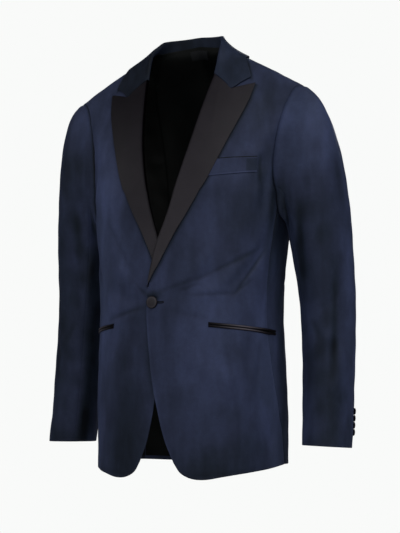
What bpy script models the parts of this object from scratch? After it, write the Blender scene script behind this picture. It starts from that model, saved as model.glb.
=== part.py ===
"""A single-breasted dinner jacket, filled out as it is worn, with nobody in it.

The origin lies between the two neck points, where the wearer's shoulders hold the jacket.
+X is the wearer's left, -Y the front and +Z up. All sizes are in metres and all turns in degrees.

Every piece of cloth is a wall between two grids of points. A place on the body of the jacket is
given by a turn, 0 at the front centre, 90 at the wearer's left side and 180 at the back, and by a
level, -1 at the hem, 0 at the chest line and 1 at the shoulder seam.
"""

import math

import bpy
import numpy as np
from mathutils import Vector

# ---- driving sizes -------------------------------------------------------------------------
CLOTH = 0.0016  # wall of the velvet with its canvas
SATIN = 0.0014  # wall of the satin with its canvas
SEAM = 0.00055  # left between two pieces that a seam joins
SLEEVE_ALLOWANCE = 0.0006  # taken off each edge of the sleeve's two pieces at their seams
GORGE_ALLOWANCE = 0.0008  # taken off the lapel and off the collar where they meet
NECK_HALF = 0.083  # half the neck width, at the shoulder seam
NECK_RISE = 0.010  # the neck point above the origin
SHOULDER_HALF = 0.2275  # half the width from shoulder point to shoulder point
SHOULDER_DROP = 0.078  # the shoulder point below the neck point
SHOULDER_ROUND = 0.14  # how far the shoulder seam bows up between its ends
NECK_LEVEL = 0.40  # of the shoulder's slope, inside the neck
SEAM_Y = -0.002  # depth of the shoulder seam at the neck point
SEAM_FORWARD = 0.008  # the shoulder point lies this far forward of the neck point
CHEST_Z = -0.255  # chest line, just above the bottom of the armholes
HEM_Z = -0.755  # lowest line of the torso form
UPPER_SPREAD = 0.30  # how much wider the form is at the shoulder seam than at the chest line
ROUND_FRONT = 1.34  # exponent of the front's curve from the chest to the shoulder seam
ROUND_BACK = 2.15
ROUND_RIDGE = 2.0  # both curves turn to this exponent close to the seam
RIDGE_POWER = 16  # how close to the seam they turn
SQUARE_FRONT = 2.20  # exponent of the front half of a section, 2 is an ellipse
SQUARE_BACK = 2.50
WAIST_OVERLAP = 0.0040  # the left front stands this far out, and the right one in, at the button
HEM_OVERLAP = 0.0014
OVERLAP_LEVELS = (-0.02, -0.17, -0.42, -0.60)  # it starts, is full, starts to fade, is the hem's
OVERLAP_TURNS = (9.0, 40.0)  # it fades out between these turns

TORSO_COLUMNS = ("z", "half_width", "front", "back")
TORSO = (  # horizontal sections of the worn jacket, from the hem to the chest line
    (-0.780, 0.172, 0.141, 0.133),
    (-0.700, 0.173, 0.143, 0.132),
    (-0.620, 0.173, 0.146, 0.126),
    (-0.540, 0.171, 0.146, 0.116),
    (-0.460, 0.169, 0.143, 0.107),
    (-0.380, 0.174, 0.138, 0.110),
    (-0.310, 0.182, 0.131, 0.118),
    (-0.255, 0.187, 0.126, 0.122),
)

# ---- cutting lines, on the wearer's left ----------------------------------------------------
LINE_STEPS = 40  # fine steps for each row of a line, where it is measured
ACROSS_STEP = 0.5  # of turn, that measures the cloth's width at a place
EVENING_ROUNDS = 24  # times that the inner points of a panel's grid are evened out
LINE_COLUMNS = ("turn", "level")
CUTAWAY = (  # front edge, from the round of the hem up to the end of the lapel
    (9.5, -0.940), (5.0, -0.870), (1.6, -0.780), (-1.4, -0.650),
    (-3.2, -0.540), (-4.4, -0.440), (-4.7, -0.350),
)
ROLL = (  # the fold of the lapel, from the button up to the gorge
    (-4.7, -0.333), (-2.2, -0.251), (0.3, -0.165), (3.0, -0.099), (5.8, -0.017), (7.4, 0.050),
    (9.6, 0.172), (11.5, 0.295), (12.9, 0.420), (14.0, 0.560), (14.8, 0.690), (15.3, 0.805),
)
LAPEL_EDGE = (  # from the button up to the tip of the peak
    (-3.2, -0.318), (4.2, -0.214), (9.8, -0.137), (15.2, -0.070), (22.9, 0.040), (29.0, 0.210),
    (34.0, 0.400), (37.2, 0.570), (38.2, 0.695), (37.6, 0.832),
)
GORGE = ((15.3, 0.805), (20.5, 0.770), (26.3, 0.728))  # seam of lapel and collar, to the notch
PEAK = (37.6, 0.832)
COLLAR_POINT = (33.8, 0.861)
HEM = (
    (9.5, -0.940), (13.5, -0.975), (20.0, -0.994), (28.5, -0.997), (40.0, -0.987), (57.0, -0.975),
    (77.0, -0.964), (96.0, -0.954), (127.0, -0.957), (155.0, -0.962), (180.0, -0.965),
)
FRONT_SEAM = (  # between the front and the side panel, from the hem up to the armhole
    (96.0, -0.954), (93.5, -0.902), (90.6, -0.816), (86.3, -0.732), (81.5, -0.636),
    (78.0, -0.536), (76.2, -0.420), (75.8, -0.280), (76.6, -0.140), (78.5, -0.052),
)
BACK_SEAM = (  # between the side panel and the back
    (127.0, -0.957), (127.6, -0.800), (127.4, -0.600), (125.6, -0.400), (121.5, -0.200),
    (115.5, 0.000), (109.5, 0.150),
)
FRONT_NECK = ((15.3, 0.805), (15.7, 0.885), (16.6, 0.952), (17.9, 1.0))
BACK_NECK = ((164.9, 1.0), (165.7, 0.9948), (167.6, 0.988), (172.0, 0.976), (180.0, 0.962))

ARMHOLE_COLUMNS = ("around", "turn", "level")  # around the sleeve: 0 front, 90 top, 180 back
ARMHOLE_FRONT = (
    (-90, 92.0, -0.082), (-54, 78.5, -0.052), (-36, 73.8, 0.040), (-18, 70.0, 0.200),
    (0, 67.2, 0.420), (18, 64.6, 0.620), (36, 62.4, 0.800), (54, 61.6, 0.910),
    (72, 63.0, 0.972), (90, 66.5, 1.0),
)
ARMHOLE_BACK = (
    (90, 115.0, 1.0), (108, 118.4, 0.978), (126, 118.6, 0.925), (144, 117.4, 0.830),
    (162, 116.2, 0.660), (180, 114.2, 0.480), (198, 112.2, 0.310), (216, 109.5, 0.150),
    (234, 105.0, 0.020), (252, 99.5, -0.055), (270, 92.0, -0.082),
)

# ---- sleeves --------------------------------------------------------------------------------
SLEEVE_COLUMNS = ("z", "x", "y", "half_width", "half_depth")
SLEEVE = (  # sections of the hanging sleeve, from the upper arm to the cuff
    (-0.340, 0.2385, 0.034, 0.0545, 0.0630),
    (-0.400, 0.2445, 0.037, 0.0510, 0.0575),
    (-0.470, 0.2495, 0.037, 0.0480, 0.0535),
    (-0.540, 0.2520, 0.033, 0.0460, 0.0510),
    (-0.620, 0.2540, 0.023, 0.0445, 0.0485),
    (-0.705, 0.2560, 0.010, 0.0430, 0.0465),
)
SLEEVE_TOP_Z = -0.340
CAP_TURN_SHARE = 0.25  # of the back seam's way round to the cuff, at the top of the table
CAP_CROWDING = 1.15  # the cap's rings crowd towards the armhole
CUFF_Z = -0.699
CUFF_SLOPE = 0.003  # the cuff is this much longer at its back
CUFF_LONGEST_AROUND = 150
HANG_STEP = 0.01  # down the sleeve, that finds the way it hangs
AROUND_STEP = 18  # between two points round the sleeve and round the armhole
FRONT_SEAM_AROUND = -36
BACK_SEAM_AROUND = 162  # at the armhole
BACK_SEAM_CUFF = 126  # at the cuff, where the buttons sit
SEAM_SHIFT_COLUMNS = ("around", "share")
SEAM_SHIFT = (  # how far the points at an angle go with the back seam as it turns to the cuff
    (-90, 0.5), (FRONT_SEAM_AROUND, 0.0), (BACK_SEAM_AROUND, 1.0), (270, 0.5),
)
HEADING_COLUMNS = ("around", "lean", "start_pull", "end_pull")
HEADING = (  # how the sleeve leaves the armhole: its lean off the body's cloth, and its pulls
    (-90, 158.0, 0.006, 0.020),
    (-54, 128.0, 0.016, 0.050),
    (-18, 72.0, 0.034, 0.110),
    (18, 40.0, 0.046, 0.150),
    (54, 14.0, 0.054, 0.180),
    (90, 8.0, 0.058, 0.190),
    (126, 16.0, 0.050, 0.180),
    (162, 34.0, 0.044, 0.150),
    (198, 66.0, 0.034, 0.110),
    (234, 118.0, 0.016, 0.050),
    (270, 158.0, 0.006, 0.020),
)
UNDERARM_LEANS = (60, 130)  # past these leans the sleeve starts beside the body, not on its edge
UNDERARM_LIFT = 1.6  # of a seam's gap
CAP_RINGS = 9
ARM_RINGS = 15
HEAD_RING, ELBOW_RING = 5, 11  # the sleeve is parted at these rings, though no seam is there
PARTING_GAP = 0.0004  # between those solids

# ---- lapels, collar, pockets and buttons ------------------------------------------------------
FOLD_RADIUS = 0.0029  # of the lapel's roll, to the middle of its wall
FACING_WIDTH = 0.014  # of the lapel's cloth behind the front
FACING_SHARE = 0.75  # or this much of the lapel's own width, where that is narrower
FACING_GAP = 0.0012  # between the front and the lapel's cloth behind it
PANEL_SETBACK = 0.0042  # the front's own edge behind the fold of the lapel
LAPEL_FOOT_LIFT = 0.0008  # under the lapel where it starts, at the button
LAPEL_FOOT = 0.3  # of its height until it has the collar's lift
LAPEL_TOP_POWER = 4  # how quickly its rows turn to the gorge's line
LAPEL_ROWS = 20
LAPEL_LEAF = 6
COLLAR_COLUMNS = ("crest_x", "crest_y", "crest_z", "edge_turn", "edge_level")
COLLAR_BACK = (  # from the centre back to the neck point; the crest is the top of the roll
    (0.0000, 0.0310, 0.0490, 180.0, 0.918),
    (0.0165, 0.0290, 0.0480, 173.0, 0.930),
    (0.0315, 0.0235, 0.0460, 167.5, 0.945),
    (0.0440, 0.0140, 0.0425, 162.5, 0.965),
    (0.0550, 0.0015, 0.0365, 159.5, 0.985),
    (0.0625, -0.0115, 0.0275, 158.0, 0.998),
)
COLLAR_FRONT = (  # from past the neck point to the gorge, where the roll is the lapel's own
    (0.0665, -0.0215, 0.0150, 26.6, 0.984),
    (0.0680, -0.0300, -0.0010, 29.2, 0.952),
    (0.0675, -0.0365, -0.0190, 31.6, 0.910),
    (0.0650, -0.0440, -0.0405, 33.8, 0.858),
)
GORGE_SHARES = (0.0, 0.08, 0.35, 1.0)  # how far each front row follows the gorge and the lapel's roll
STAND_START = 0.0011  # from the neckline up to the lower edge of the collar's stand
STAND_START_SHARE = 1 / 3  # or this share of the stand, where it is low
STAND_SPRING = (0.45, 0.020)  # how long the fall keeps the stand's line, of its width and at most
FALL_REST = 0.50  # how long the fall lies flat at its edge, of its width
FALL_STEPS = 5
COLLAR_LIFT = 0.0022  # under the outer edge of the collar and the lapels
WELT_CORNERS = ((22.5, 0.092), (56.5, 0.145), (55.0, 0.262), (24.0, 0.205))
LAID_GAP = 0.0004  # between a strip and the panel it lies on
WELT_WALL = 0.0012
WELT_GRID, JET_GRID = (8, 2), (12, 1)  # steps across and up
POCKET_TURNS = (31.0, 86.0)
POCKET_Z = (-0.4885, -0.5005)
JET_HEIGHT = 0.0042
JET_WALL = 0.0012
BUTTON_PLACE = (-1.2, -0.389)
BUTTON_RADIUS = 0.0110
BUTTON_HEIGHT = 0.0044
BUTTON_RIM = 0.35  # height of a button's widest line, of its own height
BUTTON_FOOT = 0.86  # radius of its back, of its own radius
BUTTON_WELD = 0.00001  # points of the turned profile this close are one
BUTTON_GAP = 0.0005  # between a button and the cloth
BUTTON_STEPS, CUFF_BUTTON_STEPS = 20, 12  # round a button
CUFF_BUTTON_SPACE = 0.0003  # between two of them
CUFF_BUTTON_RADIUS = 0.0059
CUFF_BUTTON_HEIGHT = 0.0036
CUFF_BUTTON_AROUND = 114
CUFF_BUTTON_FIRST_Z = -0.6745
CUFF_BUTTONS = 4
LINING_DEPTH = 0.0031  # the lining's outer face, behind the outer face of the back
LINING_WALL = 0.0010
LABEL_SIZE = (0.034, 0.019)
LABEL_GAP = 0.0009
LABEL_BELOW = 0.0030  # of the label below the neckline
LINING_RISE = 0.0165  # of the lining up the collar's stand

# ---- folds ------------------------------------------------------------------------------------
FOLD_COLUMNS = ("from_turn", "from_level", "to_turn", "to_level", "half_width", "height")
TURN_LENGTH = 0.0029  # one degree of turn, along the cloth
UPPER_LENGTH = 0.30  # one level above the chest line, along the cloth
AROUND_LENGTH = 0.00087  # one degree round the sleeve
FOLD_START = (-0.12, 0.30)  # a fold starts and is full at these shares of its length
FOLD_END = (0.70, 1.12)  # and here it starts to fade and is gone
FOLD_FADE = (1.0, 9.0)  # degrees past the lapel's edge where the folds start and are full
BODY_FOLDS = (  # ridges are positive and troughs negative
    (6, -0.360, 34, -0.190, 0.012, 0.0028),
    (8, -0.395, 36, -0.255, 0.011, -0.0030),
    (24, -0.385, 60, -0.230, 0.012, 0.0026),
    (44, -0.350, 74, -0.160, 0.013, -0.0032),
    (14, -0.560, 48, -0.700, 0.018, 0.0022),
    (66, -0.080, 61, 0.320, 0.012, -0.0028),
    (-8, -0.350, -30, -0.250, 0.011, 0.0022),
    (-9, -0.395, -38, -0.330, 0.012, -0.0026),
    (-44, -0.350, -72, -0.170, 0.013, -0.0028),
    (-66, -0.080, -61, 0.320, 0.012, -0.0028),
    (112, -0.420, 140, -0.260, 0.015, -0.0030),
    (-108, -0.400, -138, -0.270, 0.015, -0.0028),
    (120, -0.560, 150, -0.430, 0.018, 0.0022),
    (-122, -0.540, -152, -0.440, 0.018, 0.0022),
    (128, 0.060, 124, 0.560, 0.018, -0.0034),
    (-128, 0.060, -124, 0.560, 0.018, -0.0034),
)
SLEEVE_FOLD_COLUMNS = ("from_around", "from_z", "to_around", "to_z", "half_width", "height")
SLEEVE_FOLDS = (
    (10, -0.150, 4, -0.330, 0.012, -0.0030),
    (60, -0.400, 44, -0.560, 0.014, -0.0032),
    (96, -0.330, 84, -0.500, 0.013, 0.0020),
    (-20, -0.480, 40, -0.440, 0.011, -0.0030),
    (-24, -0.530, 34, -0.505, 0.011, 0.0024),
    (150, -0.300, 168, -0.420, 0.014, -0.0030),
    (130, -0.470, 196, -0.505, 0.013, 0.0024),
    (20, -0.600, 60, -0.660, 0.013, -0.0020),
)

VELVET_COLOUR = (0.006, 0.010, 0.030)
SATIN_COLOUR = (0.006, 0.006, 0.007)
TAPE_COLOUR = (0.010, 0.010, 0.012)
VELVET_ROUGHNESS, SATIN_ROUGHNESS, TAPE_ROUGHNESS = 0.85, 0.35, 0.70
VELVET_SHEEN = 0.6
SHARP_ANGLE = 50  # degrees; shading is smooth over flatter edges


# ---- curves and the form of the body ----------------------------------------------------------
def table_at(table, key):
    """The other columns of a table at a key between its rows, on a smooth curve through them."""
    rows = np.array(table, float)
    keys, values = rows[:, 0], rows[:, 1:]
    slopes = np.gradient(values, keys, axis=0)
    key = np.clip(np.asarray(key, float), keys[0], keys[-1])
    i = np.clip(np.searchsorted(keys, key, side="right") - 1, 0, len(keys) - 2)
    step = (keys[i + 1] - keys[i])[..., None]
    t = ((key - keys[i])[..., None]) / step
    return (
        values[i] * (1 + 2 * t) * (1 - t) ** 2
        + slopes[i] * step * t * (1 - t) ** 2
        + values[i + 1] * t * t * (3 - 2 * t)
        + slopes[i + 1] * step * t * t * (t - 1)
    )


def smooth_step(low, high, value):
    """0 below low and 1 above high, with a smooth rise between them."""
    t = np.clip((np.asarray(value, float) - low) / (high - low), 0, 1)
    return t * t * (3 - 2 * t)


def signed_power(value, power):
    return np.sign(value) * np.abs(value) ** power


def shoulder_line(x):
    """Height and depth of the shoulder seam's line at a distance x from the middle."""
    share = (np.abs(x) - NECK_HALF) / (SHOULDER_HALF - NECK_HALF)
    drop = np.where(share > 0, share - SHOULDER_ROUND * share * (1 - share), NECK_LEVEL * share)
    return NECK_RISE - SHOULDER_DROP * drop, SEAM_Y - SEAM_FORWARD * share


def torso(turn, level):
    """A point of the jacket's outer form."""
    turn, level = np.broadcast_arrays(np.asarray(turn, float), np.asarray(level, float))
    above = np.clip(level, 0, 1)
    z = CHEST_Z + np.minimum(level, 0) * (CHEST_Z - HEM_Z)
    size = table_at(TORSO, z)
    half_width, front, back = size[..., 0], size[..., 1], size[..., 2]
    angle = np.radians(turn)
    in_front = np.cos(angle) > 0
    square = np.where(in_front, SQUARE_FRONT, SQUARE_BACK)
    x = half_width * signed_power(np.sin(angle), 2 / square) * (1 + UPPER_SPREAD * above**2)
    y = -np.where(in_front, front, back) * signed_power(np.cos(angle), 2 / square)
    seam_z, seam_y = shoulder_line(x)
    roundness = np.where(in_front, ROUND_FRONT, ROUND_BACK)
    roundness = roundness + (ROUND_RIDGE - roundness) * above**RIDGE_POWER
    reach = (1 - above**roundness) ** (1 / roundness)
    y = np.where(level > 0, seam_y * (1 - reach) + y * reach, y)
    z = np.where(level > 0, CHEST_Z + above * (seam_z - CHEST_Z), z)
    return np.stack([x, y, z], -1)


def unit(vectors):
    return vectors / np.maximum(np.linalg.norm(vectors, axis=-1, keepdims=True), 1e-12)


NORMAL_TURN, NORMAL_LEVEL = 0.4, 0.005  # steps along the cloth that find its direction
NORMAL_LIMIT = 0.990  # the highest level where it is found so
SEAM_NORMAL_FROM = 0.955  # above this level it turns to the shoulder seam's


def torso_normal(turn, level):
    """The direction out of the cloth. On the shoulder seam it is square to the seam's own line."""
    turn, level = np.broadcast_arrays(np.asarray(turn, float), np.asarray(level, float))
    safe = np.minimum(level, NORMAL_LIMIT)
    along = torso(turn + NORMAL_TURN, safe) - torso(turn - NORMAL_TURN, safe)
    upward = torso(turn, safe + NORMAL_LEVEL) - torso(turn, safe - NORMAL_LEVEL)
    normal = unit(np.cross(along, upward))
    x = torso(turn, level)[..., 0]
    slope = SHOULDER_DROP / (SHOULDER_HALF - NECK_HALF)
    seam_normal = unit(np.stack([slope * np.sign(x), 0 * x, np.ones_like(x)], -1))
    share = smooth_step(SEAM_NORMAL_FROM, 1.0, level)[..., None]
    return unit(normal * (1 - share) + seam_normal * share)


def folds_at(table, across, along, measure):
    """How far the cloth stands out, from a table of ridges and troughs that fade at their ends.

    measure turns a place on the cloth into lengths along it.
    """
    here = measure(np.asarray(across, float), np.asarray(along, float))
    height = np.zeros(np.broadcast(*here).shape)
    for from_across, from_along, to_across, to_along, half_width, peak in table:
        start, end = measure(from_across, from_along), measure(to_across, to_along)
        run = np.subtract(end, start)
        length = math.hypot(*run)
        run = run / length
        a, b = here[0] - start[0], here[1] - start[1]
        share = (a * run[0] + b * run[1]) / length
        away = (a * run[1] - b * run[0]) / half_width
        fade = smooth_step(*FOLD_START, share) * (1 - smooth_step(*FOLD_END, share))
        height = height + peak * fade * np.exp(-(away**2))
    return height


def body_measure(turn, level):
    return turn * TURN_LENGTH, np.where(np.less(level, 0), CHEST_Z - HEM_Z, UPPER_LENGTH) * level


def sleeve_measure(around, z):
    return around * AROUND_LENGTH, z


def body_folds(turn, level):
    """The folds, faded out under the lapels."""
    height = folds_at(BODY_FOLDS, turn, level, body_measure)
    edge_turn = np.interp(level, [row[1] for row in LAPEL_EDGE], [row[0] for row in LAPEL_EDGE])
    beyond = np.abs(turn) - np.where(np.greater(level, ROLL[0][1]), edge_turn, -FOLD_FADE[1])
    return height * smooth_step(*FOLD_FADE, beyond)


def overlap(turn, level, side):
    """The left front lies over the right one, round the button and down to the hem."""
    starts, full, fades, hem = OVERLAP_LEVELS
    peak = WAIST_OVERLAP * smooth_step(starts, full, level)
    peak = peak + (HEM_OVERLAP - WAIST_OVERLAP) * smooth_step(fades, hem, level)
    return side * peak * (1 - smooth_step(*OVERLAP_TURNS, side * np.asarray(turn)))


def cloth(turn, level, side, offset):
    """A point of the cloth. turn is measured on that side, and offset is out of the outer face."""
    turn, level = np.broadcast_arrays(np.asarray(turn, float), np.asarray(level, float))
    signed = turn * side
    rise = offset + body_folds(signed, level) + np.where(np.abs(turn) < 90, overlap(signed, level, side), 0)
    return torso(signed, level) + torso_normal(signed, level) * np.asarray(rise)[..., None]


# ---- grids --------------------------------------------------------------------------------------
def along_line(table, count):
    """count points at even spaces along the smooth curve through a line's rows."""
    keyed = [(i, *row) for i, row in enumerate(table)]
    fine = table_at(keyed, np.linspace(0, len(table) - 1, LINE_STEPS * len(table)))
    steps = np.linalg.norm(np.diff(torso(fine[:, 0], fine[:, 1]), axis=0), axis=1)
    length = np.concatenate([[0], np.cumsum(steps)])
    where = np.linspace(0, length[-1], count)
    return np.stack([np.interp(where, length, fine[:, k]) for k in range(2)], -1)


def armhole(first, last, table):
    """Places on the armhole's line, from one angle round the sleeve to another."""
    step = AROUND_STEP if last >= first else -AROUND_STEP
    return table_at(table, np.arange(first, last + step / 2, step))


def joined(*lines):
    """Lines that share their end points, as one."""
    return np.concatenate([lines[0]] + [line[1:] for line in lines[1:]])


def moved_across(line, distance):
    """A line's places moved away from the front centre by a distance along the cloth."""
    moved = np.array(line, float)
    far, near = (torso(moved[:, 0] + step, moved[:, 1]) for step in (ACROSS_STEP, -ACROSS_STEP))
    moved[:, 0] += distance * 2 * ACROSS_STEP / np.linalg.norm(far - near, axis=1)
    return moved


def patch(bottom, top, left, right):
    """A grid that fills the space between four lines, with rows from the bottom to the top.

    Its inner points are evened out, so that none crosses a line at a flat corner.
    """
    bottom, top = np.array(bottom, float), np.array(top, float)
    bottom[0], bottom[-1], top[0], top[-1] = left[0], right[0], left[-1], right[-1]
    u = np.linspace(0, 1, len(bottom))[None, :, None]
    v = np.linspace(0, 1, len(left))[:, None, None]
    corners = (
        (1 - u) * (1 - v) * bottom[0] + u * (1 - v) * bottom[-1]
        + (1 - u) * v * top[0] + u * v * top[-1]
    )
    grid = (1 - v) * bottom[None] + v * top[None] + (1 - u) * left[:, None] + u * right[:, None] - corners
    for _ in range(EVENING_ROUNDS):
        beside = grid[1:-1, :-2] + grid[1:-1, 2:]
        above_below = grid[:-2, 1:-1] + grid[2:, 1:-1]
        grid[1:-1, 1:-1] = (beside + above_below) / 4
    return grid


def allow(grid, edges, amount=SEAM / 2):
    """A grid with half a seam's gap taken off the named edges, along its own rows and columns."""
    grid = grid.copy()
    ends = {
        "left": (np.s_[:, 0], np.s_[:, 1]), "right": (np.s_[:, -1], np.s_[:, -2]),
        "bottom": (np.s_[0], np.s_[1]), "top": (np.s_[-1], np.s_[-2]),
    }
    for edge in edges:
        outermost, next_in = ends[edge]
        grid[outermost] += unit(grid[next_in] - grid[outermost]) * amount
    return grid


def between(grid, rows, columns):
    """Points of a grid at places between its rows and columns."""
    row = np.clip(np.floor(rows).astype(int), 0, grid.shape[0] - 2)
    column = np.clip(np.floor(columns).astype(int), 0, grid.shape[1] - 2)
    v, u = (rows - row)[:, None, None], (columns - column)[None, :, None]
    low = grid[row][:, column] * (1 - u) + grid[row][:, column + 1] * u
    high = grid[row + 1][:, column] * (1 - u) + grid[row + 1][:, column + 1] * u
    return low * (1 - v) + high * v


def grid_normals(grid):
    """The direction square to a grid, on the side that its columns and rows turn to."""
    across = np.gradient(grid, axis=1)
    along = np.gradient(grid, axis=0)
    return unit(np.cross(across, along))


# ---- objects ------------------------------------------------------------------------------------
def material(name, colour, roughness, sheen):
    made = bpy.data.materials.new(name)
    made.use_nodes = True
    shader = made.node_tree.nodes["Principled BSDF"]
    shader.inputs["Base Color"].default_value = (*colour, 1.0)
    shader.inputs["Roughness"].default_value = roughness
    shader.inputs["Metallic"].default_value = 0.0
    shader.inputs["Sheen Weight"].default_value = sheen
    return made


def add_object(name, mesh, finish, collection):
    mesh.shade_smooth()
    mesh.set_sharp_from_angle(angle=math.radians(SHARP_ANGLE))
    mesh.materials.append(finish.copy())
    made = bpy.data.objects.new(name, mesh)
    collection.objects.link(made)
    return made


def wall(name, outer, inner, finish, collection):
    """A closed wall of cloth between an outer and an inner grid of points."""
    rows, columns = outer.shape[:2]
    shift = rows * columns

    def at(row, column, layer=0):
        return layer * shift + row * columns + column

    faces = []
    for row in range(rows - 1):
        for column in range(columns - 1):
            a, b = (row, column), (row, column + 1)
            c, d = (row + 1, column + 1), (row + 1, column)
            for corners in ((a, b, c), (a, c, d)):
                faces.append([at(*corner) for corner in corners])
                faces.append([at(*corner, 1) for corner in reversed(corners)])
    rim = [at(0, column) for column in range(columns)]
    rim += [at(row, columns - 1) for row in range(1, rows)]
    rim += [at(rows - 1, column) for column in range(columns - 2, -1, -1)]
    rim += [at(row, 0) for row in range(rows - 2, 0, -1)]
    for here, there in zip(rim, rim[1:] + rim[:1]):
        faces.append([there, here, here + shift, there + shift])
    mesh = bpy.data.meshes.new(name)
    points = np.concatenate([outer.reshape(-1, 3), inner.reshape(-1, 3)])
    mesh.from_pydata([tuple(point) for point in points], [], faces)
    mesh.update()
    return add_object(name, mesh, finish, collection)


def facing_out(grid, side):
    """The grid with its columns turned round on the wearer's right, so its faces point out."""
    return grid if side > 0 else grid[:, ::-1]


def body_wall(name, places, side, depth, thickness, edges, finish, collection):
    """A panel whose outer face lies at a depth below the form, less its seams' gaps."""
    outer = allow(cloth(places[..., 0], places[..., 1], side, -depth), edges)
    inner = allow(cloth(places[..., 0], places[..., 1], side, -depth - thickness), edges)
    return wall(name, facing_out(outer, side), facing_out(inner, side), finish, collection)


def button(name, place, facing, radius, height, steps, finish, collection):
    """A covered button: a dome turned about its own axis and set on the cloth."""
    profile = [(0.0, height)]
    for angle in np.radians((22.5, 45.0, 67.5, 90.0)):
        rise = BUTTON_RIM + (1 - BUTTON_RIM) * math.cos(angle)
        profile.append((radius * math.sin(angle), height * rise))
    profile += [(radius * BUTTON_FOOT, 0.0), (0.0, 0.0)]
    mesh = bpy.data.meshes.new(name)
    mesh.from_pydata([(x, 0.0, z) for x, z in profile], [(i, i + 1) for i in range(len(profile) - 1)], [])
    mesh.materials.append(finish.copy())
    made = bpy.data.objects.new(name, mesh)
    turned = made.modifiers.new("Turned", "SCREW")
    turned.steps = turned.render_steps = steps
    turned.use_merge_vertices = True
    turned.merge_threshold = BUTTON_WELD
    made.location = place
    made.rotation_euler = Vector(facing).to_track_quat("Z", "Y").to_euler()
    collection.objects.link(made)
    return made


# ---- panels of the body ---------------------------------------------------------------------------
CUTAWAY_POINTS = 9  # along the front edge below the button
ROLL_SPLIT = 4  # the roll's row where its points grow closer
ROLL_POINTS = (7, 9)  # along the roll below that row and above it
SEAM_ROWS = 16  # points along the side seams
ARMHOLE_START = -54  # where the front's side seam meets the armhole
ARMHOLE_END = 216  # where the back's side seam meets it
SHOULDER_FRONT_STEPS = 8  # along the front's shoulder seam
SHOULDER_BACK_STEPS = 4
NECK_FRONT_STEPS = 4  # along the front's neckline
NECK_BACK_STEPS = 5


def hem_between(first, last, count):
    return along_line([row for row in HEM if first <= row[0] <= last], count)


def front_neckline():
    """The front's edge from the top of the lapel to the neck point, set back as the lapel's is."""
    line = along_line(FRONT_NECK, NECK_FRONT_STEPS + 1)
    share = np.linspace(1, 0, NECK_FRONT_STEPS + 1)
    return moved_across(line, PANEL_SETBACK * share)


def front_places():
    """The front, from its edge to the side seam and armhole, and from the hem to the shoulder."""
    split = ROLL[ROLL_SPLIT]
    chest = [row for row in ROLL if row[1] <= split[1]]
    upper = [row for row in ROLL if row[1] >= split[1]]
    roll_line = joined(along_line(chest, ROLL_POINTS[0]), along_line(upper, ROLL_POINTS[1]))
    cutaway = along_line(CUTAWAY, CUTAWAY_POINTS)
    edge = np.concatenate([cutaway, moved_across(roll_line, PANEL_SETBACK)])
    neck = front_neckline()
    edge[-1] = neck[0]
    side = joined(along_line(FRONT_SEAM, SEAM_ROWS), armhole(ARMHOLE_START, 90, ARMHOLE_FRONT))
    turns = np.linspace(FRONT_NECK[-1][0], side[-1][0], SHOULDER_FRONT_STEPS + 1)
    shoulder = np.stack([turns, np.ones_like(turns)], -1)
    hem = hem_between(CUTAWAY[0][0], FRONT_SEAM[0][0], NECK_FRONT_STEPS + SHOULDER_FRONT_STEPS + 1)
    return patch(hem, joined(neck, shoulder), edge, side)


def side_places():
    front_part = armhole(ARMHOLE_START, ARMHOLE_FRONT[0][0], ARMHOLE_FRONT)
    back_part = armhole(ARMHOLE_BACK[-1][0], ARMHOLE_END, ARMHOLE_BACK)
    underarm = joined(front_part, back_part)
    hem = hem_between(FRONT_SEAM[0][0], BACK_SEAM[0][0], len(underarm))
    return patch(hem, underarm, along_line(FRONT_SEAM, SEAM_ROWS), along_line(BACK_SEAM, SEAM_ROWS))


def back_places():
    side = joined(along_line(BACK_SEAM, SEAM_ROWS), armhole(ARMHOLE_END, 90, ARMHOLE_BACK))
    turns = np.linspace(side[-1][0], BACK_NECK[0][0], SHOULDER_BACK_STEPS + 1)
    shoulder = np.stack([turns, np.ones_like(turns)], -1)
    neck = along_line(BACK_NECK, NECK_BACK_STEPS + 1)
    upper_rows = len(side) - SEAM_ROWS + 1
    levels = joined(
        np.linspace(HEM[-1][1], BACK_SEAM[-1][1], SEAM_ROWS),
        np.linspace(BACK_SEAM[-1][1], BACK_NECK[-1][1], upper_rows),
    )
    centre = np.stack([np.full_like(levels, 180.0), levels], -1)
    hem = hem_between(BACK_SEAM[0][0], 180.0, SHOULDER_BACK_STEPS + NECK_BACK_STEPS + 1)
    return patch(hem, joined(shoulder, neck), side, centre)


def build_body(velvet, collection):
    front, side_panel, back = front_places(), side_places(), back_places()
    for side, word in ((1, "left"), (-1, "right")):
        body_wall(f"front_{word}", front, side, 0, CLOTH, ("right", "top"), velvet, collection)
        body_wall(f"side_{word}", side_panel, side, 0, CLOTH, ("left", "right", "top"), velvet, collection)
        body_wall(f"back_{word}", back, side, 0, CLOTH, ("left", "right", "top"), velvet, collection)


def lining_layers():
    """The back lining's two faces, behind the backs and some way up the collar's stand."""
    half = back_places()[:, SHOULDER_BACK_STEPS:]
    layers = []
    for depth in (LINING_DEPTH, LINING_DEPTH + LINING_WALL):
        sides = []
        for side in (1, -1):
            panel = cloth(half[..., 0], half[..., 1], side, -depth)
            base, upward, outward, _ = stand_frame(side)
            stand = (base + upward * LINING_RISE - outward * (depth - CLOTH / 2)) * (side, 1, 1)
            sides.append(np.concatenate([panel, stand[NECK_BACK_STEPS::-1][None]]))
        layers.append(np.concatenate([sides[0], sides[1][:, -2::-1]], axis=1))
    return layers


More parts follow.
